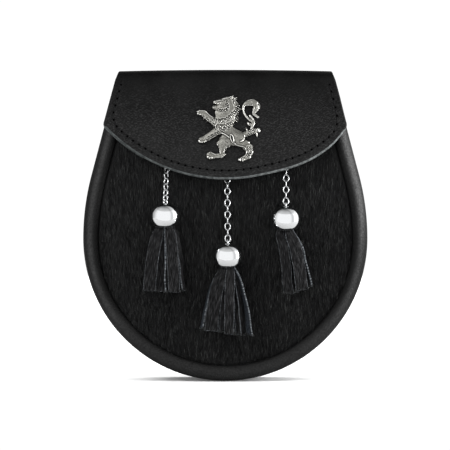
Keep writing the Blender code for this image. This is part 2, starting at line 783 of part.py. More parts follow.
def stroke_mesh(rows):
    """A closed tapering limb along (x, z, half width, height) rows, half of it behind the back plane."""
    places = [Vector((x, 0, z)) for x, z, _, _ in rows]
    headings = []
    for index in range(len(rows)):
        before, after = places[max(0, index - 1)], places[min(len(rows) - 1, index + 1)]
        headings.append((after - before).normalized())
    first = (places[0] - STROKE_END_SCALE * rows[0][2] * headings[0], STROKE_END_SCALE)
    last = (places[-1] + STROKE_END_SCALE * rows[-1][2] * headings[-1], STROKE_END_SCALE)
    stations = [(*first, 0)]
    stations += [(place, 1.0, index) for index, place in enumerate(places)]
    stations.append((*last, len(rows) - 1))
    rings = []
    for place, scale, index in stations:
        _, _, half_width, height = rows[index]
        side = Vector((headings[index].z, 0, -headings[index].x))
        ring = []
        for corner in range(BADGE_SIDES):
            angle = 2 * math.pi * (corner + 0.5) / BADGE_SIDES
            offset = half_width * math.cos(angle) * side + Vector((0, height * math.sin(angle), 0))
            ring.append(place + scale * offset)
        rings.append(ring)
    return loft(rings)


def make_badge():
    """The limbs fused, cut flat at the back, and laid on the flap's leaning front."""
    strokes = list(BADGE_STROKES.values())
    badge = make_object("lion_badge", *stroke_mesh(strokes[0]), PEWTER)
    fuse(badge, [make_object("limb", *stroke_mesh(rows), PEWTER) for rows in strokes[1:]])
    square = [(-1, -1), (1, -1), (1, 1), (-1, 1)]
    near = [(x * CUTTER_HALF, 0.0, z * CUTTER_HALF) for x, z in square]
    far = [(x, CUTTER_HALF, z) for x, _, z in near]
    block, faces = loft([near, far])
    cutter = make_object("behind_badge", block, faces, PEWTER)
    cut = badge.modifiers.new("flat_back", "BOOLEAN")
    cut.operation = "DIFFERENCE"
    cut.object = cutter
    replace_by_evaluated(badge)
    bpy.data.objects.remove(cutter, do_unlink=True)
    stand_off = flap_outer_stand_off() + CLEARANCE
    middle_y = flap_y(BADGE_X, BADGE_Z, stand_off)
    rise = flap_y(BADGE_X, BADGE_Z + 1, stand_off) - middle_y
    badge.rotation_euler.x = -math.atan(rise)
    badge.location = Vector((BADGE_X, middle_y, BADGE_Z)) * MM


def main():
    clear_scene()
    make_back_panel()
    make_gusset()
    make_front_panel()
    make_flap()
    make_flap_lining()
    make_strap_loop()
    make_closure_stud()
    for side, hanger in HANGERS.items():
        make_post(f"chain_post_{side}", hanger)
        make_chain(f"chain_{side}", hanger)
        make_bell(f"bell_{side}", hanger)
        make_tassel(f"tassel_{side}", hanger)
    make_badge()


main()
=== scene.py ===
import math

import bmesh
import bpy
import numpy as np
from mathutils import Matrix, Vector


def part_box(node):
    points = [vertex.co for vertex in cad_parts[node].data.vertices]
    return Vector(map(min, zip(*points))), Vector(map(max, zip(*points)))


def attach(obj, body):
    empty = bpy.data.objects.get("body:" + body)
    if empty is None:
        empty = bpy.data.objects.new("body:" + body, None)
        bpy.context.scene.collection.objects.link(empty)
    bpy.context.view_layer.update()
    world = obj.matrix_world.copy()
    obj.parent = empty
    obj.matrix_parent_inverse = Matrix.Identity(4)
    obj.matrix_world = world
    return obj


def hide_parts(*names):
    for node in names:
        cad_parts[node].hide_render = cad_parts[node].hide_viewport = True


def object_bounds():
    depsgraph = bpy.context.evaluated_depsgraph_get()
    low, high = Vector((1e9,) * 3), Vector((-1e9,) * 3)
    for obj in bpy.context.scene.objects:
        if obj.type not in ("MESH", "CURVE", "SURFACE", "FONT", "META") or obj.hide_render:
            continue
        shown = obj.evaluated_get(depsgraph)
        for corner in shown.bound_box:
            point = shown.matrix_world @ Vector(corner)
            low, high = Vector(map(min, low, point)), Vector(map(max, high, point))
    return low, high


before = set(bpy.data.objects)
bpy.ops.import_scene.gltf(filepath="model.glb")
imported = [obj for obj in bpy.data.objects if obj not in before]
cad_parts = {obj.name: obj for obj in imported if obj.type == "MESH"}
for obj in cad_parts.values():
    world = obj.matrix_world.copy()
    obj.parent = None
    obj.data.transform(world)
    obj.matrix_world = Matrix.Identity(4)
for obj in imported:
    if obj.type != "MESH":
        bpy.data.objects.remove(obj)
cad_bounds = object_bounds()

MM = 0.001
BODY = "root"


def corners(node):
    """A CAD node's lowest and highest corner in millimetres."""
    low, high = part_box(node)
    return np.array(low) / MM, np.array(high) / MM


# Sizes in millimetres. Z is up, the front faces -Y and +X is on the viewer's right.
RIM_LOW, RIM_HIGH = corners("gusset")
BACK_HIGH = corners("back_panel")[1]
LOOP_HIGH = corners("strap_loop")[1]
TOP_Z = corners("flap")[1][2]
CLEARANCE = 0.3

UP = np.array([0, 0, 1.0])
FORWARD = np.array([0, -1.0, 0])
REARWARD = -FORWARD

# Outline from the front: a round bowl, a wide arc, then straight leaning sides. A reach is a distance from
# the origin square to a straight side.
BOWL_RADIUS = RIM_HIGH[0]
BOWL_CENTRE_Z = RIM_LOW[2] + BOWL_RADIUS
TOP_HALF_WIDTH = 69.0
SIDE_LEAN = math.radians(14.7)
SIDE_REACH = TOP_HALF_WIDTH * math.cos(SIDE_LEAN) + TOP_Z * math.sin(SIDE_LEAN)
BOWL_REACH = BOWL_RADIUS * math.cos(SIDE_LEAN) + BOWL_CENTRE_Z * math.sin(SIDE_LEAN)
SIDE_RADIUS = (SIDE_REACH - BOWL_REACH) / (1 - math.cos(SIDE_LEAN))
SIDE_START_Z = BOWL_CENTRE_Z + SIDE_RADIUS * math.sin(SIDE_LEAN)
BOWL_ARC = BOWL_RADIUS * math.pi / 2
SIDE_ARC = SIDE_RADIUS * SIDE_LEAN

# Depth: the back is upright, and the front leans out towards the foot.
BACK_Y = BACK_HIGH[1]
BACK_THICKNESS = 2.0
BACK_INSET = 0.6
BACK_WAVE = 0.25
BACK_SEAM_INSET = 4.4
LOOP_THICKNESS = 2.2
LOOP_SEAM_Z = 19.6
RIM_BACK_Y = RIM_HIGH[1]
RIM_TOP_Z = RIM_HIGH[2]
BACK_SEAM_TOP_Z = RIM_TOP_Z - 8
DEPTH_AT_TOP = 25.6
DEPTH_GROWTH = 0.0816

# Section of the rim: (inset from the outline, 0 at the back edge or 1 at the front edge, Y from that edge).
RIM_SECTION = [
    (0.9, 0, 0.0), (0.0, 0, -4.0), (0.0, 1, 7.0), (0.5, 1, 4.2), (1.5, 1, 2.3), (3.0, 1, 1.05),
    (4.8, 1, 0.3), (6.4, 1, 0.1), (7.4, 1, 0.25), (8.2, 1, 0.4), (9.2, 1, 0.8), (9.9, 1, 1.6),
    (10.1, 1, 3.2), (10.0, 1, 5.6), (8.3, 1, 5.6), (8.0, 1, 2.8), (4.4, 1, 2.0), (2.4, 1, 4.2),
    (1.8, 1, 7.4), (1.8, 0, -4.0), (2.7, 0, 0.0),
]
SECTION_DEPTH = 32.0  # the depth at which the section's points are spread evenly
SECTION_POINTS = 116
RIM_STEPS = 420

# Hide panel: set back inside the rim and slightly domed.
PANEL_INSET = 10.3
PANEL_SET_BACK = 3.0
PANEL_DOME = 2.0
PANEL_THICKNESS = 2.0
PANEL_TOP_Z = 20.0
PANEL_HUB_Z = -62.0

# Hair over the hide.
HIDE_HALF_WIDTH = 84.0
HIDE_AREA = 21500.0  # square millimetres
HAIR_COUNT = 17800  # places for hairs in each of the two coats
HAIR_POINTS = 7
HIDDEN_BY_FLAP = 15.0  # no hair stands further inside the flap's edge than this

# Flap: a rear hem, a fold over the top, and a front with a fillet at each lower corner.
FLAP_THICKNESS = 2.0
FLAP_HEM_Z = 22.4
FLAP_FOLD_Z = 28.0
FLAP_FOLD_RADIUS = 7.0
FLAP_TOP_HALF_WIDTH = 69.5
FLAP_LEAN = math.atan(0.273)
FLAP_CORNER_RADIUS = 5.2
FLAP_EDGE_RADIUS = 107.6
FLAP_EDGE_CENTRE_Z = 72.2
FLAP_TOP_SAG = 0.13
FLAP_BULGE = 8.0
LINING_THICKNESS = 1.5
LINING_TOP_Z = 23.0
LINING_SHORT = 0.7  # how far the lining stops short of the outer leaf
LINING_SHOWN = 1.35  # how much longer than that it is at the lower left
LINING_ROUND = 0.8
LINING_STAND_OFF = CLEARANCE + LINING_THICKNESS
FLAP_STAND_OFF = LINING_STAND_OFF + CLEARANCE + FLAP_THICKNESS
FLAP_DROP = 3.6  # how far the flap's lower right edge hangs below the left one
CUT_WIDTH = 1.25  # bevelled cut edge of the leather, seen from the front
CUT_DEPTH = 1.35
EDGE_DISTANCES = [2.4, 1.7, 1.35, 1.2, 1.05, 0.8, 0.5, 0.28, 0.12, 0.03, 0.0]  # the last grid lines
FLAP_HALF_SPAN = 75.0  # rough lengths of a half row and of a column of the flap's grid
FLAP_DROP_SPAN = 66.0
FAR = 9.0  # a distance that says that neither an edge nor a stitch is near
WEAR_AND_SHEEN_LEVEL = 0.26  # how pale and glossy the back and the strap loop are, evenly, where 1 is the rim's brightest painted highlight

# Stitching: a lockstitch in waxed thread, and the line that it follows inside the flap's edge.
STITCH_PITCH = 4.7
STITCH_SIDE_INSET = 4.6
STITCH_EDGE_INSET = 5.6
STITCH_CORNER_RADIUS = 12.0
THREAD_RADIUS = 0.26
THREAD_SINK = 0.2
GROOVE_WIDTH = 0.8
GROOVE_DEPTH = 0.22
HOLE_RADIUS = 0.8
HOLE_DEPTH = 0.4
HOLE_SIZE = (1.15, 0.6, 1.0)  # half length and half width of a hole, drawn as wide as it needs to show

# Chain, bell and tassel.
LINK_LENGTH = 5.65
LINK_WIDTH = 4.4
LINK_WIRE = 1.0
LINK_SHOWN_WIRE = 0.88  # the wire as it looks between its polished flats
LINK_SEAT = 0.75
LINK_PITCH = LINK_LENGTH - LINK_WIRE - LINK_SEAT
POST_RADIUS = 0.8
POST_STEM = 4.0
EYE_RADIUS = 1.6
EYE_WIRE = 0.9
CHAIN_TWIST = {"left": 22.0, "middle": 0.0, "right": 0.0}
# The bell's outside, then its rolled foot and bore: (radius, height above the foot).
BELL_PROFILE = [
    (0.0, 15.7), (3.8, 15.2), (7.1, 13.4), (9.2, 10.4), (9.8, 7.2), (9.4, 4.1), (7.9, 1.3), (5.7, -0.4),
]
BELL_MOUTH = [
    (5.35, -0.52), (5.05, -0.45), (4.9, -0.1), (4.6, 5.0), (0.0, 5.4),
]


# ------------------------------------------------------------------ meshes


def place_in_scene(name, data):
    """A new object that holds the data, in the scene's own collection."""
    thing = bpy.data.objects.new(name, data)
    bpy.context.scene.collection.objects.link(thing)
    return thing


def stacked(*axes):
    """Coordinates side by side as points, each stretched to the shape of them all."""
    return np.stack(np.broadcast_arrays(*axes), axis=-1)


def add_piece(name, points, faces, material, replaces=(), slot=None, attributes=None, merge=False):
    """A smooth-shaded piece on the pouch's body, from points in millimetres and arrays of faces."""
    mesh = bpy.data.meshes.new(name)
    sizes = np.concatenate([np.full(len(array), array.shape[1]) for array in faces])
    loops = np.concatenate([array.ravel() for array in faces])
    mesh.vertices.add(len(points))
    mesh.loops.add(len(loops))
    mesh.polygons.add(len(sizes))
    mesh.vertices.foreach_set("co", (points * MM).astype(np.float32).ravel())
    mesh.loops.foreach_set("vertex_index", loops.astype(np.int32))
    mesh.polygons.foreach_set("loop_start", (np.cumsum(sizes) - sizes).astype(np.int32))
    mesh.update(calc_edges=True)
    for label, values in (attributes or {}).items():
        layer = mesh.attributes.new(label, "FLOAT", "POINT")
        layer.data.foreach_set("value", values.astype(np.float32).ravel())
    if merge:
        bm = bmesh.new()
        bm.from_mesh(mesh)
        bmesh.ops.remove_doubles(bm, verts=bm.verts, dist=0.002 * MM)
        bm.to_mesh(mesh)
        bm.free()
    mesh.shade_smooth()
    mesh.materials.append(material)
    piece = place_in_scene(name, mesh)
    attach(piece, BODY)
    if replaces:
        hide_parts(*replaces)
    return piece


def unit(vectors):
    """Vectors, each divided by its own length."""
    return vectors / np.linalg.norm(vectors, axis=-1, keepdims=True)


def grid_faces(rows, columns, wrap_rows=False, wrap_columns=False):
    """Quads between neighbours of a grid of points, joined end to start where a direction wraps."""
    row = np.arange(rows if wrap_rows else rows - 1)[:, None]
    column = np.arange(columns if wrap_columns else columns - 1)
    below, beside = (row + 1) % rows, (column + 1) % columns
    here, there = row * columns, below * columns
    return stacked(here + column, here + beside, there + beside, there + column).reshape(-1, 4)


def volume(points, faces):
    """Signed volume of a closed mesh: the sum of the tetrahedra from the origin to each triangle."""
    total = 0.0
    for array in faces:
        for corner in range(2, array.shape[1]):
            a, b, c = (points[array[:, i]] for i in (0, corner - 1, corner))
            total += np.einsum("ij,ij->", a, np.cross(b, c)) / 6
    return total


def outwards(points, faces):
    """The faces, turned round if they enclose a negative volume."""
    if volume(points, faces) < 0:
        return [array[:, ::-1] for array in faces]
    return faces


def front_normals(grid):
    """Unit normals of a grid that faces the front: the cross product of its two directions' differences."""
    normal = np.cross(np.gradient(grid, axis=1), np.gradient(grid, axis=0))
    normal /= np.maximum(np.linalg.norm(normal, axis=-1, keepdims=True), 1e-9)
    return -normal if normal[-1, grid.shape[1] // 2, 1] > 0 else normal


def shell(outer, inner):
    """A closed leaf between two grids of equal size, whose borders are joined by a wall."""
    rows, columns = outer.shape[:2]
    index = np.arange(rows * columns).reshape(rows, columns)
    edge = np.concatenate([index[0], index[1:, -1], index[-1, -2::-1], index[-2:0:-1, 0]])
    beside = np.roll(edge, -1)
    behind = rows * columns
    wall = stacked(beside, edge, edge + behind, beside + behind)
    front = grid_faces(rows, columns)
    points = np.concatenate([outer.reshape(-1, 3), inner.reshape(-1, 3)])
    return points, outwards(points, [front, front[:, ::-1] + behind, wall])


def tube(rings, closed_path=False):
    """A closed body through rings of points, round a closed path or with a middle point at each end."""
    rows, columns = rings.shape[:2]
    points = rings.reshape(-1, 3)
    faces = [grid_faces(rows, columns, wrap_rows=closed_path, wrap_columns=True)]
    if not closed_path:
        side = np.arange(columns)
        beside = np.roll(side, -1)
        last = (rows - 1) * columns
        faces.append(stacked(beside, side, len(points)))
        faces.append(stacked(last + side, last + beside, len(points) + 1))
        points = np.concatenate([points, rings[[0, -1]].mean(axis=1)])
    return points, outwards(points, faces)


def joined(parts):
    """Several (points, faces) as one."""
    points, quads, triangles, first = [], [], [], 0
    for part_points, part_faces in parts:
        points.append(part_points)
        for array in part_faces:
            (quads if array.shape[1] == 4 else triangles).append(array + first)
        first += len(part_points)
    faces = [np.concatenate(kind) for kind in (quads, triangles) if kind]
    return np.concatenate(points), faces


def repeated(points, faces):
    """Many bodies with the same faces: points are (bodies, points of each, 3)."""
    count, size = points.shape[:2]
    first = np.arange(count)[:, None, None] * size
    return points.reshape(-1, 3), [(array[None] + first).reshape(-1, array.shape[1]) for array in faces]


def smooth_curve(points, steps):
    """Catmull-Rom curve: a cubic through every point, with the neighbours' direction as its slope there."""
    points = np.asarray(points, float)
    padded = np.concatenate([2 * points[:1] - points[1:2], points, 2 * points[-1:] - points[-2:-1]])
    a, b, c, d = (padded[i : i + len(points) - 1, None] for i in range(4))
    t = (np.arange(steps) / steps)[None, :, None]
    curve = b + 0.5 * t * (c - a + t * (2 * a - 5 * b + 4 * c - d + t * (3 * (b - c) + d - a)))
    return np.concatenate([curve.reshape(-1, points.shape[1]), points[-1:]])


def even(curve, count, closed=False):
    """Points at even steps of length along a polyline."""
    line = np.concatenate([curve, curve[:1]]) if closed else curve
    length = np.concatenate([[0], np.cumsum(np.linalg.norm(np.diff(line, axis=0), axis=1))])
    at = np.linspace(0, length[-1], count, endpoint=not closed)
    return np.stack([np.interp(at, length, column) for column in line.T], axis=1)


def rounding(distance, width, depth):
    """How much of a cut edge is rounded away this far inside it: a quarter of an ellipse."""
    return depth * (1 - np.sqrt(1 - (1 - np.clip(distance / width, 0, 1)) ** 2))


def softened(loop, passes):
    """A closed line whose corners are rounded by averaging each point with its neighbours."""
    for _ in range(passes):
        loop = (np.roll(loop, 1, axis=0) + 2 * loop + np.roll(loop, -1, axis=0)) / 4
    return loop


def ripple(size, seed, *coordinates):
    """Soft noise, mostly between -1 and 1: eight sine waves in random headings, summed and divided by 4."""
    draw = np.random.default_rng(seed)
    total = 0.0
    for _ in range(8):
        heading = draw.normal(size=len(coordinates))
        heading *= 2 * math.pi / size * draw.uniform(0.6, 1.6) / np.linalg.norm(heading)
        phase = draw.uniform(0, 2 * math.pi)
        total = total + np.sin(sum(h * c for h, c in zip(heading, coordinates)) + phase)
    return total / 4


def ease(value, start, end):
    """0 before start and 1 after end, with a smooth step between."""
    t = np.clip((value - start) / (end - start), 0, 1)
    return t * t * (3 - 2 * t)


# ------------------------------------------------------------------ the pouch's own curves and surfaces


def arc_to(z):
    """Arc length from the foot of the outline up to a height on its straight side."""
    return BOWL_ARC + SIDE_ARC + (z - SIDE_START_Z) / math.cos(SIDE_LEAN)


def outline(arc, inset=0.0, top_z=RIM_TOP_Z):
    """(x, z) of the outline at a signed arc length from the foot, moved in by an inset, with a level top."""
    length = np.abs(arc)
    bowl = np.minimum(length, BOWL_ARC) / BOWL_RADIUS - math.pi / 2
    lean = np.clip(length - BOWL_ARC, 0, SIDE_ARC) / SIDE_RADIUS
    share = np.maximum(length - BOWL_ARC - SIDE_ARC, 0) / (arc_to(top_z) - BOWL_ARC - SIDE_ARC)
    x = (BOWL_RADIUS - inset) * np.cos(bowl) + (SIDE_RADIUS - inset) * (np.cos(lean) - 1)
    z = BOWL_CENTRE_Z + (BOWL_RADIUS - inset) * np.sin(bowl) + (SIDE_RADIUS - inset) * np.sin(lean)
    rise = share * (top_z - BOWL_CENTRE_Z - (SIDE_RADIUS - inset) * math.sin(SIDE_LEAN))
    return np.sign(arc) * (x - rise * math.tan(SIDE_LEAN)), z + rise


def outline_distance(x, z):
    """How far a point is inside the outline: from the bowl, the wide arc or the straight side beside it."""
    across = np.abs(x)
    bowl = BOWL_RADIUS - np.hypot(across, z - BOWL_CENTRE_Z)
    wide = SIDE_RADIUS - np.hypot(across - BOWL_RADIUS + SIDE_RADIUS, z - BOWL_CENTRE_Z)
    side = SIDE_REACH - across * math.cos(SIDE_LEAN) - z * math.sin(SIDE_LEAN)
    return np.where(z < BOWL_CENTRE_Z, bowl, np.where(z < SIDE_START_Z, wide, side))


def front_y(z):
    """Y of the rim's crest: a plane that leans forward towards the foot."""
    return BACK_Y - DEPTH_AT_TOP - (TOP_Z - z) * DEPTH_GROWTH


def panel_y(x, z):
    """Y of the hide panel: the rim's plane, set back, less a round dome about the bowl's centre."""
    from_centre = (x**2 + (z - BOWL_CENTRE_Z) ** 2) / (BOWL_RADIUS - PANEL_INSET) ** 2
    return front_y(z) + PANEL_SET_BACK - PANEL_DOME * np.maximum(0, 1 - from_centre)


def back_y(x, z):
    """Y of the back's outer face, which is a little uneven."""
    return BACK_Y - BACK_WAVE + BACK_WAVE * ripple(60, 21, x, z)


def hang(x, z):
    """Height of the flap's points as it hangs: z less a drop that grows to the lower right edge."""
    drop = FLAP_DROP * ease(x, 22, 66) * (1 - 0.75 * ease(x, 68, 82))
    return z - drop * ease(-z, -20, 0)


def flap_y(x, z, stand_off):
    """Y of a flap layer: the rim's plane less its stand-off and a bulge, deepest low in the middle."""
    widest = FLAP_TOP_HALF_WIDTH + math.tan(FLAP_LEAN) * TOP_Z
    lowest = FLAP_EDGE_CENTRE_Z - FLAP_EDGE_RADIUS
    down = np.maximum(0, (FLAP_FOLD_Z - z) / (FLAP_FOLD_Z - lowest))
    sway = 0.22 * ripple(46, 5, x, z) * np.minimum(down * 4, 1)
    return front_y(z) - stand_off - FLAP_BULGE * (1 - (x / widest) ** 2) * down + sway


class FlapLine:
    """A line inside the flap's edge: leaning sides, a fillet at each corner and one wide lower arc."""

    def __init__(self, side_inset, edge_inset, corner):
        sine, cosine = math.sin(FLAP_LEAN), math.cos(FLAP_LEAN)
        self.corner = corner
        self.radius = FLAP_EDGE_RADIUS - edge_inset
        self.reach = FLAP_TOP_HALF_WIDTH * cosine + TOP_Z * sine - side_inset
        line = self.reach - corner
        gap = line - FLAP_EDGE_CENTRE_Z * sine
        down = FLAP_EDGE_CENTRE_Z * cosine - math.sqrt((self.radius - corner) ** 2 - gap**2)
        self.centre = (line * cosine - down * sine, line * sine + down * cosine)
        self.low = math.atan2(self.centre[1] - FLAP_EDGE_CENTRE_Z, self.centre[0])
        self.arc = self.radius * (self.low + math.pi / 2)
        self.fillet = corner * (FLAP_LEAN - self.low)
        self.side_start = self.centre[1] + corner * sine

    def point(self, along):
        """(x, z) at a signed length from the middle of the lower arc."""
        length = np.abs(along)
        turn = np.minimum(length, self.arc) / self.radius - math.pi / 2
        bend = self.low + np.clip(length - self.arc, 0, self.fillet) / self.corner
        rest = np.maximum(length - self.arc - self.fillet, 0)
        x = self.radius * np.cos(turn) + self.corner * (np.cos(bend) - math.cos(self.low))
        z = FLAP_EDGE_CENTRE_Z + self.radius * np.sin(turn)
        z = z + self.corner * (np.sin(bend) - math.sin(self.low))
        return np.sign(along) * (x - rest * math.sin(FLAP_LEAN)), z + rest * math.cos(FLAP_LEAN)

    def measure(self, x, z):
        """(distance inside the line, signed length along it) of each point."""
        across = np.abs(x)
        side = self.reach - across * math.cos(FLAP_LEAN) - z * math.sin(FLAP_LEAN)
        edge = self.radius - np.hypot(across, z - FLAP_EDGE_CENTRE_Z)
        turn = np.arctan2(z - FLAP_EDGE_CENTRE_Z, across)
        up = (z - self.side_start) / math.cos(FLAP_LEAN)
        dx, dz = across - self.centre[0], z - self.centre[1]
        angle = np.arctan2(dz, dx)
        in_corner = (angle > self.low) & (angle < FLAP_LEAN)
        distance = np.where(in_corner, self.corner - np.hypot(dx, dz), np.minimum(side, edge))
        along = np.where(side < edge, self.arc + self.fillet + up, self.radius * (turn + math.pi / 2))
        along = np.where(in_corner, self.arc + self.corner * (angle - self.low), along)
        return distance, np.sign(x) * along

    def arc_to(self, z):
        """Length from the middle of the lower arc up to a height on the straight side."""
        return self.arc + self.fillet + (z - self.side_start) / math.cos(FLAP_LEAN)


FLAP_EDGE = FlapLine(0.0, 0.0, FLAP_CORNER_RADIUS)
STITCH_LINE = FlapLine(STITCH_SIDE_INSET, STITCH_EDGE_INSET, STITCH_CORNER_RADIUS)


# ------------------------------------------------------------------ materials


def linear(code):
    """An sRGB hex code as a linear colour."""
    srgb = np.array([int(code[i : i + 2], 16) for i in (1, 3, 5)]) / 255
    rgb = np.where(srgb <= 0.04045, srgb / 12.92, ((srgb + 0.055) / 1.055) ** 2.4)
    return (*rgb, 1.0)


def per_mm(size):
    """Texture scale on Object coordinates, which are metres, for cells of a size in millimetres."""
    return 1 / (size * MM)


def feed(node, inputs):
    """Sets or links a node's inputs, from values and outputs by name in a dict, or in order in a tuple."""
    for key, value in inputs.items() if isinstance(inputs, dict) else enumerate(inputs):
        if isinstance(value, bpy.types.NodeSocket):
            node.id_data.links.new(value, node.inputs[key])
        else:
            node.inputs[key].default_value = value


def add_node(tree, kind, inputs=(), out=0, stops=None, **settings):
    """Adds a node with its settings, its inputs and a ramp's (place, hex) stops, and returns an output."""
    node = tree.nodes.new("ShaderNode" + kind)
    for name, value in settings.items():
        setattr(node, name, value)
    feed(node, inputs)
    if stops:
        ramp = node.color_ramp
        for place, _ in stops[2:]:
            ramp.elements.new(place)
        for element, (place, code) in zip(ramp.elements, stops):
            element.position = place
            element.color = linear(code)
    return node.outputs[out] if node.outputs else None


def new_material(name):
    """A material with its node tree and its shader."""
    material = bpy.data.materials.new(name)
    material.use_nodes = True
    return material, material.node_tree, material.node_tree.nodes["Principled BSDF"]


def smooth_leather():
    """Black full-grain calf, plated flat: satin with fine pores, paler and glossier with wear and a painted
    highlight.
    """
    material, tree, shader = new_material("black_smooth_calf")
    place = add_node(tree, "TexCoord", out="Object")
    cloud = add_node(tree, "TexNoise", {"Vector": place, "Scale": per_mm(14), "Detail": 3.0})
    tone = add_node(tree, "ValToRGB", {"Fac": cloud}, stops=[(0.35, "#090909"), (0.7, "#0d0d0d")])
    wear_and_sheen = add_node(tree, "Attribute", out="Fac", attribute_name="wear_and_sheen")
    mottle = add_node(tree, "TexNoise", {"Vector": place, "Scale": per_mm(1.2), "Detail": 1.0})
    uneven = add_node(tree, "MapRange", (mottle, 0.35, 0.65, 0.7, 1.3))
    # Painted highlight, partly wear: the band's share pales the tone towards grey.
    share = add_node(tree, "Math", (wear_and_sheen, uneven), operation="MULTIPLY")
    worn_and_sheened = add_node(tree, "MixRGB", (share, tone, linear("#4e4e4e")))
    gloss = add_node(tree, "MapRange", (wear_and_sheen, 0.0, 1.0, 0.6, 0.34))
    # Real pores are about a third as wide. These are as coarse as they need to be to show.
    pores = add_node(tree, "TexVoronoi", {"Vector": place, "Scale": per_mm(0.95)}, feature="F1")
    crease = add_node(tree, "TexNoise", {"Vector": place, "Scale": per_mm(5), "Detail": 4.0})
    fine = add_node(tree, "Bump", {"Height": pores, "Strength": 0.8, "Distance": 0.4 * MM})
    soft = add_node(tree, "Bump", {"Height": crease, "Strength": 0.3, "Distance": 0.5 * MM, "Normal": fine})
    feed(shader, {"Base Color": worn_and_sheened, "Roughness": gloss, "Normal": soft, "Specular IOR Level": 0.11})
    return material


def pebbled_leather():
    """Black calf pressed with a pebble grain, whose cut edge shows a grey core, painted paler on the right.
    """
    material, tree, shader = new_material("black_pebbled_calf")
    place = add_node(tree, "TexCoord", out="Object")
    x, y, z = add_node(tree, "SeparateXYZ", (place,)).node.outputs
    cloud = add_node(tree, "TexNoise", {"Vector": place, "Scale": per_mm(18), "Detail": 3.0})
    # The pebbles are wider than they are high, and their rows bend up towards the right edge.
    right = add_node(tree, "Math", (x, 0.0), operation="MAXIMUM")
    bend = add_node(tree, "Math", (right, 2.0), operation="POWER")
    sheared = add_node(tree, "Math", (bend, -2.5, z), operation="MULTIPLY_ADD")
    level = add_node(tree, "CombineXYZ", (x, y, sheared))
    wide = add_node(tree, "Mapping", {"Vector": level, "Scale": (0.38, 1.0, 1.0)})
    grain = add_node(tree, "TexNoise", {"Vector": wide, "Scale": per_mm(0.5), "Detail": 1.5,
                                        "Roughness": 0.4, "Distortion": 0.3})
    # Painted shade: the face is painted darker towards the fold and lighter towards the lower edge,
    #     # and the pebbles' tops are painted paler there than at the fold, as painted highlights.
    painted_shade_by_height = add_node(tree, "MapRange", (z, 30 * MM, -30 * MM, -0.3, 0.4))
    depth = add_node(tree, "Math", (cloud, painted_shade_by_height), operation="ADD")
    tone = add_node(tree, "ValToRGB", {"Fac": depth}, stops=[(0.1, "#030303"), (0.9, "#171717")])
    below_fold = add_node(tree, "MapRange", (z, 32 * MM, 0.0))
    crest = add_node(tree, "MapRange", (grain, 0.48, 0.72, 0.0, below_fold))
    face = add_node(tree, "MixRGB", (crest, tone, linear("#303030")))
    # The cut edge: a band of the core along the flap's lower border, a little frayed.
    edge = add_node(tree, "Attribute", out="Fac", attribute_name="edge_distance")
    fray = add_node(tree, "TexNoise", {"Vector": place, "Scale": per_mm(2.2), "Detail": 2.0})
    frayed = add_node(tree, "Math", (fray, 0.3, edge), operation="MULTIPLY_ADD")
    is_cut = add_node(tree, "MapRange", (frayed, CUT_WIDTH + 0.2, CUT_WIDTH - 0.05))
    # Painted light: a shaded copy of the core's colour on the left and a lit copy on the right, where the
    # side light falls.
    shaded_core = add_node(tree, "ValToRGB", {"Fac": fray}, stops=[(0.3, "#2e3131"), (0.7, "#585c5c")])
    lit_core = add_node(tree, "ValToRGB", {"Fac": fray}, stops=[(0.3, "#4c4f4f"), (0.7, "#848888")])
    towards_lit_side = add_node(tree, "MapRange", (x, -40 * MM, 60 * MM))
    core = add_node(tree, "MixRGB", (towards_lit_side, shaded_core, lit_core))
    cut = add_node(tree, "MixRGB", (is_cut, face, core))
    # Stitch holes: an ellipse round each whole count along the stitched line, painted black as painted shade
    #     # in each hole. A black metal mirrors nothing, which a deep hole doesn't either.
    beside = add_node(tree, "Attribute", out="Fac", attribute_name="stitch_offset")
    along = add_node(tree, "Attribute", out="Fac", attribute_name="stitch_count")
    wave = add_node(tree, "Math", (along, 0.5), operation="PINGPONG")
    ahead = add_node(tree, "Math", (wave, -STITCH_PITCH, 0.5 * STITCH_PITCH), operation="MULTIPLY_ADD")
    reach = add_node(tree, "CombineXYZ", (ahead, beside))
    sized = add_node(tree, "VectorMath", (reach, HOLE_SIZE), operation="DIVIDE")
    far = add_node(tree, "VectorMath", (sized,), out="Value", operation="LENGTH")
    hole = add_node(tree, "MapRange", (far, 1.25, 0.8))
    colour = add_node(tree, "MixRGB", (hole, cut, linear("#020202")))
    gloss = add_node(tree, "MapRange", (is_cut, 0.0, 1.0, 0.4, 0.62))
    bump = add_node(tree, "Bump", {"Height": grain, "Strength": 0.8, "Distance": 0.5 * MM})
    feed(shader, {"Base Color": colour, "Metallic": hole, "Roughness": gloss, "Normal": bump,
                  "Specular IOR Level": 0.09})
    return material


def hair_material():
    """Black cow hair: a soft gloss along each hair, some hairs paler than others."""
    material, tree, shader = new_material("black_cow_hair")
    tint = add_node(tree, "Attribute", out="Fac", attribute_name="tint")
    stops = [(0.0, "#050505"), (0.3, "#0d0d0e"), (0.55, "#1c1c1d"), (0.8, "#3c3d3c"), (1.0, "#585958")]
    tone = add_node(tree, "ValToRGB", {"Fac": tint}, stops=stops)
    feed(shader, {"Base Color": tone, "Roughness": 0.42, "Specular IOR Level": 0.1})
    return material


def hide_material():
    """The hide's skin under the hair: dull black, streaked down the lie of the hair."""
    material, tree, shader = new_material("black_hide_skin")
    place = add_node(tree, "TexCoord", out="Object")
    along = add_node(tree, "Mapping", {"Vector": place, "Scale": (1.0, 1.0, 0.08)})
    streak = add_node(tree, "TexNoise", {"Vector": along, "Scale": per_mm(0.5), "Detail": 2.0})
    tone = add_node(tree, "ValToRGB", {"Fac": streak}, stops=[(0.3, "#030303"), (0.7, "#0b0b0c")])
    bump = add_node(tree, "Bump", {"Height": streak, "Strength": 0.8, "Distance": 0.3 * MM})
    feed(shader, {"Base Color": tone, "Roughness": 0.8, "Normal": bump, "Specular IOR Level": 0.3})
    return material


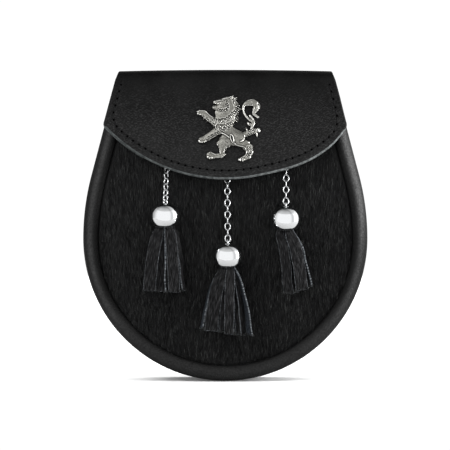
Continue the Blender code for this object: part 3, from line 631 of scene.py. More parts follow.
def strip_material():
    """Hide cut in strips: fine slanted hair on the face, a blue-grey flesh side and a paler cut edge."""
    material, tree, shader = new_material("black_hide_strip")
    place = add_node(tree, "UVMap", uv_map="strip")  # millimetres across and along the strip
    slant = add_node(tree, "Mapping", {"Vector": place, "Rotation": (0, 0, math.radians(24)),
                                       "Scale": (1.0, 0.06, 1.0)})
    # Real hair is about 0.1 mm wide. These streaks are about 0.3 mm wide, so that they show.
    hair = add_node(tree, "TexNoise", {"Vector": slant, "Scale": 3.2, "Detail": 1.5})
    chips = add_node(tree, "TexNoise", {"Vector": place, "Scale": 1.1, "Detail": 2.0})
    stops = [(0.34, "#040404"), (0.44, "#0b0b0c"), (0.56, "#1e1e1f"), (0.7, "#3e3e3f")]
    face = add_node(tree, "ValToRGB", {"Fac": hair}, stops=stops)
    stops = [(0.34, "#222426"), (0.5, "#4c4f52"), (0.66, "#7c8084")]
    core = add_node(tree, "ValToRGB", {"Fac": chips}, stops=stops)
    suede = add_node(tree, "ValToRGB", {"Fac": chips}, stops=[(0.38, "#0e1012"), (0.66, "#3a3f45")])
    is_flesh = add_node(tree, "Attribute", out="Fac", attribute_name="flesh")
    sides = add_node(tree, "MixRGB", (is_flesh, face, suede))
    is_cut = add_node(tree, "Attribute", out="Fac", attribute_name="cut")
    colour = add_node(tree, "MixRGB", (is_cut, sides, core))
    bump = add_node(tree, "Bump", {"Height": hair, "Strength": 0.9, "Distance": 0.35 * MM})
    feed(shader, {"Base Color": colour, "Roughness": 0.5, "Normal": bump, "Specular IOR Level": 0.05})
    return material


def chrome(name, tone, haze_low, haze_high):
    """Chromed brass: a mirror with a faint haze from handling, which softens what it reflects."""
    material, tree, shader = new_material(name)
    place = add_node(tree, "TexCoord", out="Object")
    haze = add_node(tree, "TexNoise", {"Vector": place, "Scale": per_mm(3), "Detail": 4.0})
    gloss = add_node(tree, "MapRange", (haze, 0.0, 1.0, haze_low, haze_high))
    feed(shader, {"Base Color": linear(tone), "Metallic": 1.0, "Roughness": gloss})
    return material


def pewter():
    """Cast pewter, blackened and then polished back: light on the high places, dark in every recess."""
    material, tree, shader = new_material("antiqued_pewter")
    place = add_node(tree, "TexCoord", out="Object")
    cavity = add_node(tree, "Attribute", out="Fac", attribute_name="cavity")
    # The casting's real grit is finer, and is drawn as coarse as it needs to be to show.
    grit = add_node(tree, "TexNoise", {"Vector": place, "Scale": per_mm(0.6), "Detail": 4.0})
    dirt = add_node(tree, "Math", (grit, 0.4, cavity), operation="MULTIPLY_ADD")
    stops = [(0.34, "#e4e3de"), (0.53, "#91908a"), (0.65, "#6b6a65"), (0.77, "#3c3b37"), (0.92, "#141312")]
    tone = add_node(tree, "ValToRGB", {"Fac": dirt}, stops=stops)
    gloss = add_node(tree, "MapRange", (dirt, 0.0, 1.0, 0.2, 0.6))
    bump = add_node(tree, "Bump", {"Height": grit, "Strength": 0.8, "Distance": 0.22 * MM})
    feed(shader, {"Base Color": tone, "Metallic": 1.0, "Roughness": gloss, "Normal": bump})
    return material


def thread():
    """Waxed black polyester thread: a faint fuzz and a low gloss."""
    material, tree, shader = new_material("waxed_black_thread")
    place = add_node(tree, "TexCoord", out="Object")
    # Real fuzz is finer. This is as coarse as the thread is thick, so that it shows.
    fuzz = add_node(tree, "TexNoise", {"Vector": place, "Scale": per_mm(0.5), "Detail": 2.0})
    tone = add_node(tree, "ValToRGB", {"Fac": fuzz}, stops=[(0.3, "#060606"), (0.7, "#0e0e0f")])
    feed(shader, {"Base Color": tone, "Roughness": 0.5, "Specular IOR Level": 0.15})
    return material


# ------------------------------------------------------------------ leather body


def make_rim(material):
    """The gusset and rolled rim: one section, with the depth at each place, carried along the outline.

    The "wear_and_sheen" is how pale and glossy the crest is: partly wear and partly a painted highlight,
    most on the upper right where the side light falls, and widest and a little darker at the foot.
    """
    inset, share, behind = np.array(RIM_SECTION).T
    section = stacked(inset, behind - SECTION_DEPTH * share, share)
    inset, offset, front = softened(even(section, SECTION_POINTS, closed=True), 3).T
    offset = offset + SECTION_DEPTH * front
    top = arc_to(RIM_TOP_Z)
    arc = np.linspace(-top, top, RIM_STEPS)[:, None]
    pucker = ripple(5.5, 11, arc, inset * 0.6) * np.exp(-(((inset - 7.4) / 1.6) ** 2))
    sway = ripple(38, 12, arc, offset) * 0.25 + pucker * 0.12 * front
    x, z = outline(arc, inset - sway * (1 - front))
    y = RIM_BACK_Y * (1 - front) + front_y(z) * front + offset + sway * front
    points, faces = tube(stacked(x, y, z))
    # Painted highlight, partly wear: a paler band along the roll's crest, brightest on the upper right where
    # the side light falls.
    right_side_highlight = ease(x, 45, 78) * ease(z, -95, -45)
    foot = ease(-z, 105, 150)
    width = 1.9 + 0.3 * right_side_highlight + 2.6 * foot
    crest = np.exp(-(((inset - 4.5 + 1.1 * right_side_highlight) / width) ** 2))
    wear_and_sheen = front * (0.36 + 0.64 * right_side_highlight - 0.16 * foot) * crest
    wear_and_sheen = np.append(wear_and_sheen, [0, 0])  # the two middles of the tube's ends
    add_piece("rim_leather", points, faces, material, ["gusset"], "smooth_leather", {"wear_and_sheen": wear_and_sheen})


def bowl_grid(inset, top_z, shares):
    """(x, z) over a level-topped outline: its closed border drawn in towards a hub by each share."""
    top = arc_to(top_z)
    x, z = outline(np.linspace(-top, top, 300), inset, top_z)
    across = np.linspace(x[-1], x[0], 60)[1:-1]
    x = np.append(x, across)
    z = np.append(z, np.full(len(across), top_z))
    return shares * x, PANEL_HUB_Z + shares * (z - PANEL_HUB_Z)


def disc(front, rear):
    """A closed plate between two grids whose rows are closed rings, the first of them shrunk to a point."""
    rows, columns = front.shape[:2]
    face = grid_faces(rows, columns, wrap_columns=True)
    behind = rows * columns
    edge = (rows - 1) * columns + np.arange(columns)
    beside = np.roll(edge, -1)
    wall = stacked(edge, beside, beside + behind, edge + behind)
    points = np.concatenate([front.reshape(-1, 3), rear.reshape(-1, 3)])
    return points, outwards(points, [face, face[:, ::-1] + behind, wall])


def make_back(material, thread_material):
    """The flat back with rounded edges, and a row of stitches that joins it to the gusset."""
    shares = np.array([0, 0.3, 0.6, 0.85, 0.95, 0.985, 0.995, 1.0])[:, None]
    round_off = np.array([0, 0, 0, 0, 0, 0.05, 0.25, 0.6])[:, None]
    x, z = bowl_grid(BACK_INSET, RIM_TOP_Z, shares)
    rear = stacked(x, back_y(x, z) - round_off, z)
    front = stacked(x, BACK_Y - BACK_THICKNESS + round_off * 0.3, z)
    points, faces = disc(rear, front)
    wear_and_sheen = {"wear_and_sheen": np.full(len(points), WEAR_AND_SHEEN_LEVEL)}
    add_piece("back_leather", points, faces, material, ["back_panel"], "smooth_leather", wear_and_sheen, merge=True)

    def seam(arc):
        x, z = outline(arc, BACK_SEAM_INSET)
        return stacked(x, back_y(x, z), z)

    middles = stitch_middles(int(2 * arc_to(BACK_SEAM_TOP_Z) / STITCH_PITCH))
    add_stitches("back_stitches", seam, middles, 0.84, REARWARD, thread_material)


def stitch_middles(count):
    """Places of a row of stitches along its seam, spread evenly about 0."""
    return (np.arange(count) + 0.5 - count / 2) * STITCH_PITCH


def add_stitches(name, seam, middles, share, outward, material):
    """Thread from hole to hole: a round tube that rises from each hole and lies on the leather between.

    The seam turns places along it into points, and a stitch spans a share of the pitch about its middle.
    """
    start, end = (seam(middles + side * share / 2 * STITCH_PITCH) for side in (-1, 1))
    t = np.linspace(0, 1, 11)[:, None]
    rise = np.sin(math.pi * t) ** 0.5 * 0.75 - 0.5
    middle = start[:, None] * (1 - t) + end[:, None] * t + THREAD_RADIUS * rise * outward
    side = unit(np.cross(end - start, outward))
    angle = np.linspace(0, 2 * math.pi, 8, endpoint=False)[:, None]
    ring = np.cos(angle) * side[:, None] + np.sin(angle) * outward
    rings = middle[:, :, None] + THREAD_RADIUS * ring[:, None]
    _, faces = tube(rings[0])
    points = np.concatenate([rings.reshape(len(start), -1, 3), rings[:, [0, -1]].mean(axis=2)], axis=1)
    add_piece(name, *repeated(points, faces), material)


def rounded_section(half_width, half_thickness, corner):
    """A rectangle with round corners, as (across, through) points: quarter turns moved to the corners."""
    angle = np.radians(np.array([[0], [90], [180], [270]]) + [0, 45, 90]).ravel()
    sign_x, sign_y = np.repeat([[1, -1, -1, 1], [1, 1, -1, -1]], 3, axis=1)
    across = sign_x * (half_width - corner) + corner * np.cos(angle)
    through = sign_y * (half_thickness - corner) + corner * np.sin(angle)
    return across, through


def make_strap_loop(material, thread_material):
    """A band with round edges carried down a smooth path: foot, bend, flat middle, bend, foot."""
    foot_y = BACK_Y + CLEARANCE + LOOP_THICKNESS / 2
    flat_y = LOOP_HIGH[1] - LOOP_THICKNESS / 2
    upper = [(foot_y, 22.0), (foot_y, 18.2), (foot_y + 0.4, 16.4), (flat_y - 0.5, 14.2), (flat_y, 12.6)]
    upper.append((flat_y, 4.0))
    path = even(smooth_curve(upper + [(y, -z) for y, z in upper[::-1]], 8), 90)
    heading = unit(np.gradient(path, axis=0))
    across, through = rounded_section(LOOP_HIGH[0], LOOP_THICKNESS / 2, 0.7)
    shrink = np.ones((len(path), 1))
    shrink[[0, -1]] = 0.45
    y = path[:, :1] - heading[:, 1:] * through * shrink
    z = path[:, 1:] + heading[:, :1] * through * shrink
    points, faces = tube(stacked(across, y, z))
    wear_and_sheen = {"wear_and_sheen": np.full(len(points), WEAR_AND_SHEEN_LEVEL)}
    add_piece("loop_leather", points, faces, material, ["strap_loop"], "smooth_leather", wear_and_sheen)
    middles = stitch_middles(int(2 * (LOOP_HIGH[0] - 3) / STITCH_PITCH))
    level = np.repeat([LOOP_SEAM_Z, -LOOP_SEAM_Z], len(middles))

    def seam(along):
        return stacked(along, foot_y + LOOP_THICKNESS / 2, level)

    add_stitches("loop_stitches", seam, np.tile(middles, 2), 0.84, REARWARD, thread_material)


# ------------------------------------------------------------------ flap


def flap_grid(top_z, columns, rows):
    """x, z and share of the half width over the flap's front below a height, dense towards the cut edge."""
    half = edge_steps(columns, FLAP_HALF_SPAN)
    across = np.append(-half[::-1], half[1:])
    shares = edge_steps(rows, FLAP_DROP_SPAN)[:, None]
    corner_along = FLAP_EDGE.arc + FLAP_EDGE.fillet / 2
    corner_x, corner_z = FLAP_EDGE.point(corner_along)
    side_top = FLAP_EDGE.arc_to(top_z)
    side_x, side_z = FLAP_EDGE.point(side_top + (corner_along - side_top) * shares)
    edge_x = np.abs(across) * corner_x
    fillet_start = FLAP_EDGE.radius * math.cos(FLAP_EDGE.low)
    on_arc = FLAP_EDGE_CENTRE_Z - np.sqrt(FLAP_EDGE.radius**2 - np.minimum(edge_x, fillet_start) ** 2)
    over = np.maximum(edge_x - FLAP_EDGE.centre[0], 0)
    on_fillet = FLAP_EDGE.centre[1] - np.sqrt(np.maximum(FLAP_EDGE.corner**2 - over**2, 0))
    edge_z = np.where(edge_x < fillet_start, on_arc, on_fillet)
    return across * side_x, side_z + shares * (edge_z - corner_z), across


def edge_steps(count, length):
    """Shares of a length from 0 to 1: even at first, and then EDGE_DISTANCES before its end."""
    near = np.array(EDGE_DISTANCES) / length
    return np.append(np.linspace(0, 1 - near[0], count, endpoint=False), 1 - near)


def fold_section(front_fold_y):
    """(y, height over the fold line) of the leaf from its rear hem over the top to its front."""
    rear_y = BACK_Y + CLEARANCE + FLAP_THICKNESS
    turn = np.radians(np.linspace(0, 90, 14))
    inward, up = FLAP_FOLD_RADIUS * (1 - np.cos(turn)), FLAP_FOLD_RADIUS * np.sin(turn)
    rear_turn = stacked(rear_y - inward, up)
    front_turn = stacked(front_fold_y + inward, up)[::-1]
    hem = stacked(rear_y, (FLAP_HEM_Z - FLAP_FOLD_Z) * np.array([1, 0.97, 0.9, 0.6, 0.3]))
    bridge = np.linspace(rear_turn[-1], front_turn[0], 16)[1:-1]
    return np.concatenate([hem, rear_turn, bridge, front_turn[:-1]])


def make_flap(material):
    """Outer leaf of the flap: hem, fold and hanging front as one grid, with a cut edge and stitch holes.

    Its attributes are the distance inside the cut edge, the offset from the stitched line, and how many
    stitches there are along it from the middle.
    """
    x, level, across = flap_grid(FLAP_FOLD_Z, 112, 88)
    hung = hang(x, level)
    front = stacked(x, flap_y(x, hung, FLAP_STAND_OFF), hung)
    front_fold_y = front[0, len(across) // 2, 1]
    path = fold_section(front_fold_y)
    y, height = path[:, :1], path[:, 1:]
    half_width = FLAP_TOP_HALF_WIDTH + math.tan(FLAP_LEAN) * (TOP_Z - FLAP_FOLD_Z - np.maximum(height, 0))
    half_width = np.where(y > (front_fold_y + y[0]) / 2, FLAP_TOP_HALF_WIDTH, half_width)
    sag = np.where(height > 0, 1 - FLAP_TOP_SAG * across**2, 1)
    fold = stacked(across * half_width, y, FLAP_FOLD_Z + height * sag)
    outer = np.concatenate([fold, front])
    normal = front_normals(outer)
    x, z = outer[..., 0], np.concatenate([fold[..., 2], level])
    is_front = np.arange(len(outer))[:, None] >= len(fold)
    distance, along = FLAP_EDGE.measure(x, z)
    bare = is_front * ease(-np.abs(along), -FLAP_EDGE.arc - 0.8 * FLAP_EDGE.fillet, -FLAP_EDGE.arc)
    distance = np.where(is_front, distance, (1 - np.abs(across)) * np.abs(outer[:, -1:, 0]))
    offset, along = STITCH_LINE.measure(x, z)
    groove = np.where(is_front, np.exp(-((offset / GROOVE_WIDTH) ** 2)), 0) * (z < FLAP_FOLD_Z + 1)
    to_hole = np.abs((along / STITCH_PITCH) % 1 - 0.5) * STITCH_PITCH
    hole = groove * np.exp(-((to_hole / HOLE_RADIUS) ** 2))
    drop = rounding(distance, CUT_WIDTH, CUT_DEPTH) + GROOVE_DEPTH * groove + HOLE_DEPTH * hole
    points, faces = shell(outer - drop[..., None] * normal, outer - FLAP_THICKNESS * normal)
    behind = np.full(distance.size, FAR)
    attributes = {
        "edge_distance": np.append(distance + 3 * (1 - bare), behind),
        "stitch_offset": np.append(np.where(z < FLAP_FOLD_Z - 2, offset, FAR), behind),
        "stitch_count": np.append(along / STITCH_PITCH, 0 * behind),
    }
    add_piece("flap_leather", points, faces, material, ["flap"], "grained_leather", attributes)


def make_lining(material):
    """Inner leaf of the flap: it shows past the outer leaf at the lower left and stops short elsewhere."""
    x, z, _ = flap_grid(LINING_TOP_Z, 60, 30)
    distance, _ = FLAP_EDGE.measure(x, z)
    shift = LINING_SHOWN * ease(-x, 42, 58) * ease(-z, -8, 2) - LINING_SHORT
    share = np.exp(-distance / 9)
    away = unit(stacked(x, z - FLAP_EDGE_CENTRE_Z))
    x = x + away[..., 0] * shift * share
    z = hang(x, z + away[..., 1] * shift * share)
    outer = stacked(x, flap_y(x, z, LINING_STAND_OFF), z)
    normal = front_normals(outer)
    drop = rounding(distance, LINING_ROUND, LINING_ROUND)
    points, faces = shell(outer - drop[..., None] * normal, outer - LINING_THICKNESS * normal)
    behind = np.full(distance.size, FAR)
    attributes = {"edge_distance": np.append(distance, behind), "stitch_offset": np.append(behind, behind)}
    add_piece("lining_leather", points, faces, material, ["flap_lining"], "grained_leather", attributes)


def make_flap_stitches(material):
    """One stitch between each two holes along the stitched line, on the flap's face."""

    def seam(along):
        x, z = STITCH_LINE.point(along)
        z = hang(x, z)
        return stacked(x, flap_y(x, z, FLAP_STAND_OFF - THREAD_SINK), z)

    count = 2 * int(STITCH_LINE.arc_to(FLAP_FOLD_Z) / STITCH_PITCH) - 1
    add_stitches("flap_stitches", seam, stitch_middles(count), 0.76, FORWARD, material)


# ------------------------------------------------------------------ hide and hair


def make_hide(material):
    """The hide panel's skin: a domed plate inside the rim."""
    x, z = bowl_grid(PANEL_INSET, PANEL_TOP_Z, np.linspace(0, 1, 40)[:, None])
    front = stacked(x, panel_y(x, z), z)
    points, faces = disc(front, front + [0, PANEL_THICKNESS, 0])
    add_piece("hide_skin", points, faces, material, ["front_panel"], "hair_on_hide", merge=True)


def hair_spikes(roots, heading, length, width, bend):
    """Closed hairs: a triangle at the root, one part way up the bent hair, and a point at its tip."""
    side = unit(np.cross(heading, FORWARD))
    up = np.cross(side, heading)
    angle = np.radians([90, 210, 330])[:, None]
    ring = np.cos(angle) * side[:, None] + np.sin(angle) * up[:, None]
    size, wide = length[:, None], width[:, None, None]
    middle = roots + heading * size * 0.5 + up * bend[:, None] * size
    tip = roots + heading * size
    base_ring = roots[:, None] + ring * wide * 0.5
    middle_ring = middle[:, None] + ring * wide * 0.45
    points = np.concatenate([base_ring, middle_ring, tip[:, None]], axis=1)
    side = np.arange(3)
    beside = (side + 1) % 3
    quads = stacked(side, beside, beside + 3, side + 3)
    tips = stacked(side + 3, beside + 3, 6)
    return repeated(points, outwards(points[0], [quads, np.append(tips, [[2, 1, 0]], axis=0)]))


def make_coat(name, seed, material, long_share):
    """Hair over the hide: roots scattered evenly inside the rim, each hair lying down with its own stray.

    A hair whose tip would pass the rim is shorter. The "tint" is mostly its own, and a little its tuft's.
    """
    draw = np.random.default_rng(seed)
    cell = math.sqrt(HIDE_AREA / HAIR_COUNT)
    columns = np.arange(-HIDE_HALF_WIDTH, HIDE_HALF_WIDTH, cell)
    grid = np.meshgrid(columns, np.arange(RIM_LOW[2], PANEL_TOP_Z, cell))
    x, z = ((line + draw.uniform(-0.6, 0.6, line.shape) * cell).ravel() for line in grid)
    keep = (outline_distance(x, z) > PANEL_INSET + 0.5) & (FLAP_EDGE.measure(x, z)[0] < HIDDEN_BY_FLAP)
    x, z = x[keep], z[keep]
    count = len(x)
    length = draw.uniform(5.5, 9.5, count) * long_share
    room = outline_distance(x, z - length) - PANEL_INSET
    length = np.where(room < 0, np.maximum(length + room * 0.8, 3.5), length)
    flow = 0.10 * ripple(60, seed + 1, x, z) + 0.10 * ripple(14, seed + 2, x, z) - 0.0012 * x
    stray = draw.normal(0, 0.09, count)
    lift = draw.uniform(0.02, 0.11, count)
    heading = unit(stacked(flow + stray, panel_y(x, z - 1) - panel_y(x, z) - lift, -1.0))
    roots = stacked(x, panel_y(x, z) + 0.3, z)
    # Real hair is about 0.1 mm wide, too fine to show one by one.
    width = draw.uniform(0.15, 0.32, count)
    bend = draw.uniform(0.01, 0.05, count)
    points, faces = hair_spikes(roots, heading, length, width, bend)
    tuft = ease(ripple(0.9, 33, x + 0.8 * ripple(9, 34, x, z), z * 0.07), -0.7, 1.1)
    tint = np.repeat(0.82 * draw.uniform(0, 1, count) + 0.18 * tuft, HAIR_POINTS)
    add_piece(name, points, faces, material, (), "hair_on_hide", {"tint": tint})


# ------------------------------------------------------------------ chains, bells and tassels


def oval_ring(centre, long_axis, wide_axis, half_length, half_width, wire, steps=28, sides=10):
    """Round wire along an oval, both directions closed: a circle that stands square to the oval."""
    angle = np.linspace(0, 2 * math.pi, steps, endpoint=False)[:, None]
    around = np.linspace(0, 2 * math.pi, sides, endpoint=False)[:, None]
    middle = half_length * np.cos(angle) * long_axis + half_width * np.sin(angle) * wide_axis
    outward = unit(half_width * np.cos(angle) * long_axis + half_length * np.sin(angle) * wide_axis)
    circle = np.cos(around) * outward[:, None] + np.sin(around) * np.cross(long_axis, wide_axis)
    return tube(centre + middle[:, None] + wire / 2 * circle, closed_path=True)


def turned(profile, sides):
    """A profile of (radius, height) turned about Z."""
    angle = np.linspace(0, 2 * math.pi, sides, endpoint=False)
    radius, height = profile[:, :1], profile[:, 1:]
    return stacked(radius * np.cos(angle), radius * np.sin(angle), height)


def chain_frame(side):
    """The post's axis, the top of the bell's eye, and unit vectors: down the chain, right, their cross."""
    post_low, post_high = corners(f"chain_post_{side}")
    bell_low, bell_high = corners(f"bell_{side}")
    axis, eye = (post_low + post_high) / 2, (bell_low + bell_high) / 2
    axis[1] = post_high[1] - POST_STEM / 2
    eye[2] = bell_high[2] - EYE_WIRE / 2
    down = unit(eye - axis)
    right = unit(np.array([1.0, 0, 0]) - down[0] * down)
    return axis, eye, down, right, np.cross(down, right)


def link_wide(side, index):
    """The wide axis of a link: a quarter turn for each, and the chain's own twist over the first two."""
    *_, right, out = chain_frame(side)
    angle = math.pi / 2 * index + math.radians(CHAIN_TWIST[side]) * min(index, 2)
    return math.cos(angle) * right + math.sin(angle) * out


def link_count(side):
    """How many links fill the way from the post to the bell's eye."""
    axis, eye, *_ = chain_frame(side)
    hook = POST_RADIUS + LINK_WIRE / 2 + (EYE_WIRE + LINK_WIRE) / 2 + 2 * CLEARANCE
    return 1 + round((np.linalg.norm(eye - axis) + hook - LINK_LENGTH + LINK_WIRE) / LINK_PITCH)


def make_chain(side, material):
    """Oval links hooked through each other, every one turned a quarter from the last."""
    axis, _, down, *_ = chain_frame(side)
    half_length, half_width = (LINK_LENGTH - LINK_WIRE) / 2, (LINK_WIDTH - LINK_WIRE) / 2
    first = half_length - POST_RADIUS - CLEARANCE - LINK_WIRE / 2
    links = []
    for index in range(link_count(side)):
        centre = axis + (first + LINK_PITCH * index) * down
        wide = link_wide(side, index)
        links.append(oval_ring(centre, down, wide, half_length, half_width, LINK_SHOWN_WIRE))
    add_piece(f"links_{side}", *joined(links), material, [f"chain_{side}"], "polished_metal")


def bell_foot(side):
    """The middle of the bell's foot, under its eye."""
    low, _ = corners(f"bell_{side}")
    eye = chain_frame(side)[1]
    return np.array([eye[0], eye[1], low[2]])


def make_bell(side, material):
    """A turned bell cap with a rolled foot and a blind bore, and a wire eye on its crown."""
    eye = chain_frame(side)[1]
    shoulder = BELL_PROFILE[1]
    crown = smooth_curve([(-shoulder[0], shoulder[1])] + BELL_PROFILE, 9)[9:]
    profile = np.concatenate([crown, smooth_curve(BELL_MOUTH, 2)])
    profile[[0, -1], 0] = 0.0
    cap = tube(turned(profile, 96) + bell_foot(side))
    wide = unit(link_wide(side, link_count(side)) * [1, 1, 0])
    ring = oval_ring(eye - EYE_RADIUS * UP, UP, wide, EYE_RADIUS, EYE_RADIUS, EYE_WIRE)
    name = f"bell_cap_{side}"
    return add_piece(name, *joined([cap, ring]), material, [f"bell_{side}"], "polished_metal", merge=True)


# Strips of each tassel, from the bell's foot:
# (start x, start y, end x, end y, end height, width, turn in degrees, twist in degrees)
STRIPS = {
    "left": [
        (-4.2, -2.5, -10.2, -5.5, -40.6, 8.2, -12.0, 10.0),
        (-1.6, -2.2, -3.3, -3.6, -41.2, 6.0, 10.0, -8.0),
        (-0.4, -2.8, -0.1, -4.6, -41.6, 4.6, 97.0, -10.0),
        (0.6, -2.0, 1.5, -3.4, -41.3, 3.4, 8.0, 4.0),
        (2.9, -4.0, 5.8, -8.0, -41.5, 7.4, 4.0, 6.0),
        (5.4, -1.0, 12.0, -4.0, -40.6, 5.6, 60.0, 24.0),
        (-3.0, 2.5, -6.5, 2.6, -40.5, 8.0, 8.0, 0.0),
        (2.5, 2.8, 5.5, 2.8, -41.0, 8.0, -8.0, 0.0),
        (0.4, 0.6, 4.0, -0.6, -40.4, 6.5, 20.0, 10.0),
    ],
    "middle": [
        (-4.6, 0.0, -17.0, -2.4, -39.4, 5.0, 102.0, 8.0),
        (-3.0, -4.0, -10.8, -6.5, -40.4, 8.6, -10.0, 6.0),
        (-0.4, -2.4, -4.0, -4.0, -41.2, 3.6, 20.0, 4.0),
        (1.6, -4.6, 0.8, -8.5, -42.4, 6.2, 4.0, -4.0),
        (3.6, -1.0, 6.6, -1.5, -43.0, 3.6, 24.0, 10.0),
        (3.4, -3.2, 10.0, -4.5, -43.4, 3.6, 40.0, 10.0),
        (4.8, -2.0, 14.4, -5.5, -43.0, 5.6, 112.0, 30.0),
        (-2.5, 2.6, -5.0, 2.5, -41.5, 7.5, 6.0, 0.0),
        (3.0, 2.8, 9.5, 2.5, -42.5, 7.0, -12.0, 0.0),
    ],
    "right": [
        (-4.0, -2.5, 1.6, -6.5, -40.6, 6.4, -8.0, 4.0),
        (2.6, -4.0, 10.2, -7.0, -38.2, 8.0, 8.0, 4.0),
        (5.2, -1.0, 16.0, -3.5, -36.0, 5.4, 98.0, -10.0),
        (-0.6, 0.5, 5.6, -1.5, -40.0, 5.6, 30.0, 0.0),
        (3.4, -1.6, 13.4, -4.4, -37.0, 4.4, 30.0, 10.0),
        (-3.5, 2.6, 2.0, 2.6, -40.5, 6.0, 10.0, 0.0),
        (2.5, 2.8, 9.5, 2.7, -38.5, 7.0, -8.0, 0.0),
    ],
}
STRIP_THICKNESS = 1.0
STRIP_TOP = 3.5
STRIP_BEND = -2.2
FRAY_COUNT = 3
UV_APART = 40.0  # each strip has its own place in the pattern


def strip_rings(foot, row, seed):
    """One strip: a rounded band carried out of the bell and over a shoulder, with its own twist and sway."""
    start, end, (end_z, width, turn, twist) = np.array(row[:2]), np.array(row[2:4]), row[4:]
    places = [
        (*(0.45 * start), STRIP_TOP),
        (*(0.6 * start), 0.4),
        (*start, STRIP_BEND),
        (*(0.55 * start + 0.45 * end), 0.75 * STRIP_BEND + 0.25 * end_z),
        (*(0.24 * start + 0.76 * end), 0.4 * STRIP_BEND + 0.6 * end_z),
        (*end, end_z),
    ]
    path = even(smooth_curve(places, 10), 46)
    share = np.linspace(0, 1, len(path))
    path[:, 0] += 0.3 * ripple(16, seed, path[:, 2]) * share
    path[:, 1] += 0.5 * ripple(19, seed + 1, path[:, 2]) * share
    angle = np.radians(turn + twist * (share - 0.5))
    wide = stacked(np.cos(angle), np.sin(angle), 0.0)
    thick = unit(np.cross(wide, np.gradient(path, axis=0)))
    grow = 0.55 + 0.45 * ease(-path[:, 2], -STRIP_TOP, 7)
    half, corner = width / 2, 0.3
    across, through = rounded_section(half, STRIP_THICKNESS / 2, corner)
    extra = np.linspace(half - corner, -half + corner, 6)[1:-1]
    across = np.concatenate([across[:3], extra, across[3:9], -extra, across[9:]])
    flat = np.full(len(extra), STRIP_THICKNESS / 2)
    through = np.concatenate([through[:3], flat, through[3:9], -flat, through[9:]])
    cup = 0.5 * ripple(40, seed + 2, path[:, 2])[:, None] * (across / half) ** 2
    slope = np.random.default_rng(seed + 3).uniform(-0.16, 0.16)
    ragged = (slope * across + 0.3 * ripple(2.4, seed + 4, across)) * ease(share, 0.86, 1.0)[:, None]
    spread = across[:, None] * grow[:, None, None] * wide[:, None]
    rings = foot + path[:, None] + spread + (through + cup)[..., None] * thick[:, None]
    rings[..., 2] += ragged
    hem = rings[-1].mean(axis=0)
    rings = np.concatenate([rings, (hem + (rings[-1:] - hem) * 0.98) - 0.12 * UP])
    is_cut = np.broadcast_to(np.abs(across) > half - 0.6 * corner, rings.shape[:2]).astype(float)
    is_flesh = np.broadcast_to(through > 0.9 * STRIP_THICKNESS / 2, rings.shape[:2]).astype(float)
    is_cut[-1], is_flesh[-1] = 1, 0
    along = share * np.linalg.norm(np.diff(path, axis=0), axis=1).sum()
    return rings, is_cut, is_flesh, stacked(across, np.append(along, along[-1])[:, None])


def make_tassel(side, seed, material, hair):
    """A bundle of hide strips that leave the bell's bore together and spread."""
    parts, cuts, fleshes, uvs, hems = [], [], [], [], []
    for number, row in enumerate(STRIPS[side]):
        rings, is_cut, is_flesh, uv = strip_rings(bell_foot(side), row, seed + 10 * number)
        parts.append(tube(rings))
        hems.append(rings[-3])
        cuts += [is_cut.ravel(), [0.0, 1.0]]
        fleshes += [is_flesh.ravel(), [0.0, 0.0]]
        uv = uv + [UV_APART * number, 0]
        uvs += [uv.reshape(-1, 2), uv[[0, -1]].mean(axis=1)]
    points, faces = joined(parts)
    layers = {"cut": np.concatenate(cuts), "flesh": np.concatenate(fleshes)}
    name = f"tassel_hide_{side}"
    mesh = add_piece(name, points, faces, material, [f"tassel_{side}"], "hair_on_hide", layers).data
    index = np.empty(len(mesh.loops), np.int32)
    mesh.loops.foreach_get("vertex_index", index)
    layer = mesh.uv_layers.new(name="strip")
    layer.data.foreach_set("uv", np.concatenate(uvs)[index].astype(np.float32).ravel())
    fray_ends(f"tassel_hair_{side}", np.concatenate(hems), seed, hair)


def fray_ends(name, hem, seed, material):
    """Loose hairs at the cut ends: a few short bent spikes, a little astray, from each point of the hem."""
    draw = np.random.default_rng(seed)
    roots = np.repeat(hem, FRAY_COUNT, axis=0)
    roots = roots + draw.uniform(-0.45, 0.45, roots.shape) * [1.0, 0.3, 0.6]
    count = len(roots)
    heading = unit(stacked(draw.normal(0, 0.3, count), draw.normal(0, 0.12, count), -1.0))
    length = draw.uniform(0.8, 1.9, count)
    width = draw.uniform(0.14, 0.24, count)
    points, faces = hair_spikes(roots, heading, length, width, draw.uniform(0.02, 0.1, count))
    tint = np.repeat(draw.uniform(0.5, 1.0, count), HAIR_POINTS)
    add_piece(name, points, faces, material, (), "hair_on_hide", {"tint": tint})


# ------------------------------------------------------------------ lion badge

BADGE_X = 1.9
BADGE_Z = -2.3
BADGE_CELL = 0.16
BADGE_BASE = 0.9  # the plate under the relief
BADGE_GAP = 0.05  # between the plate and the flap
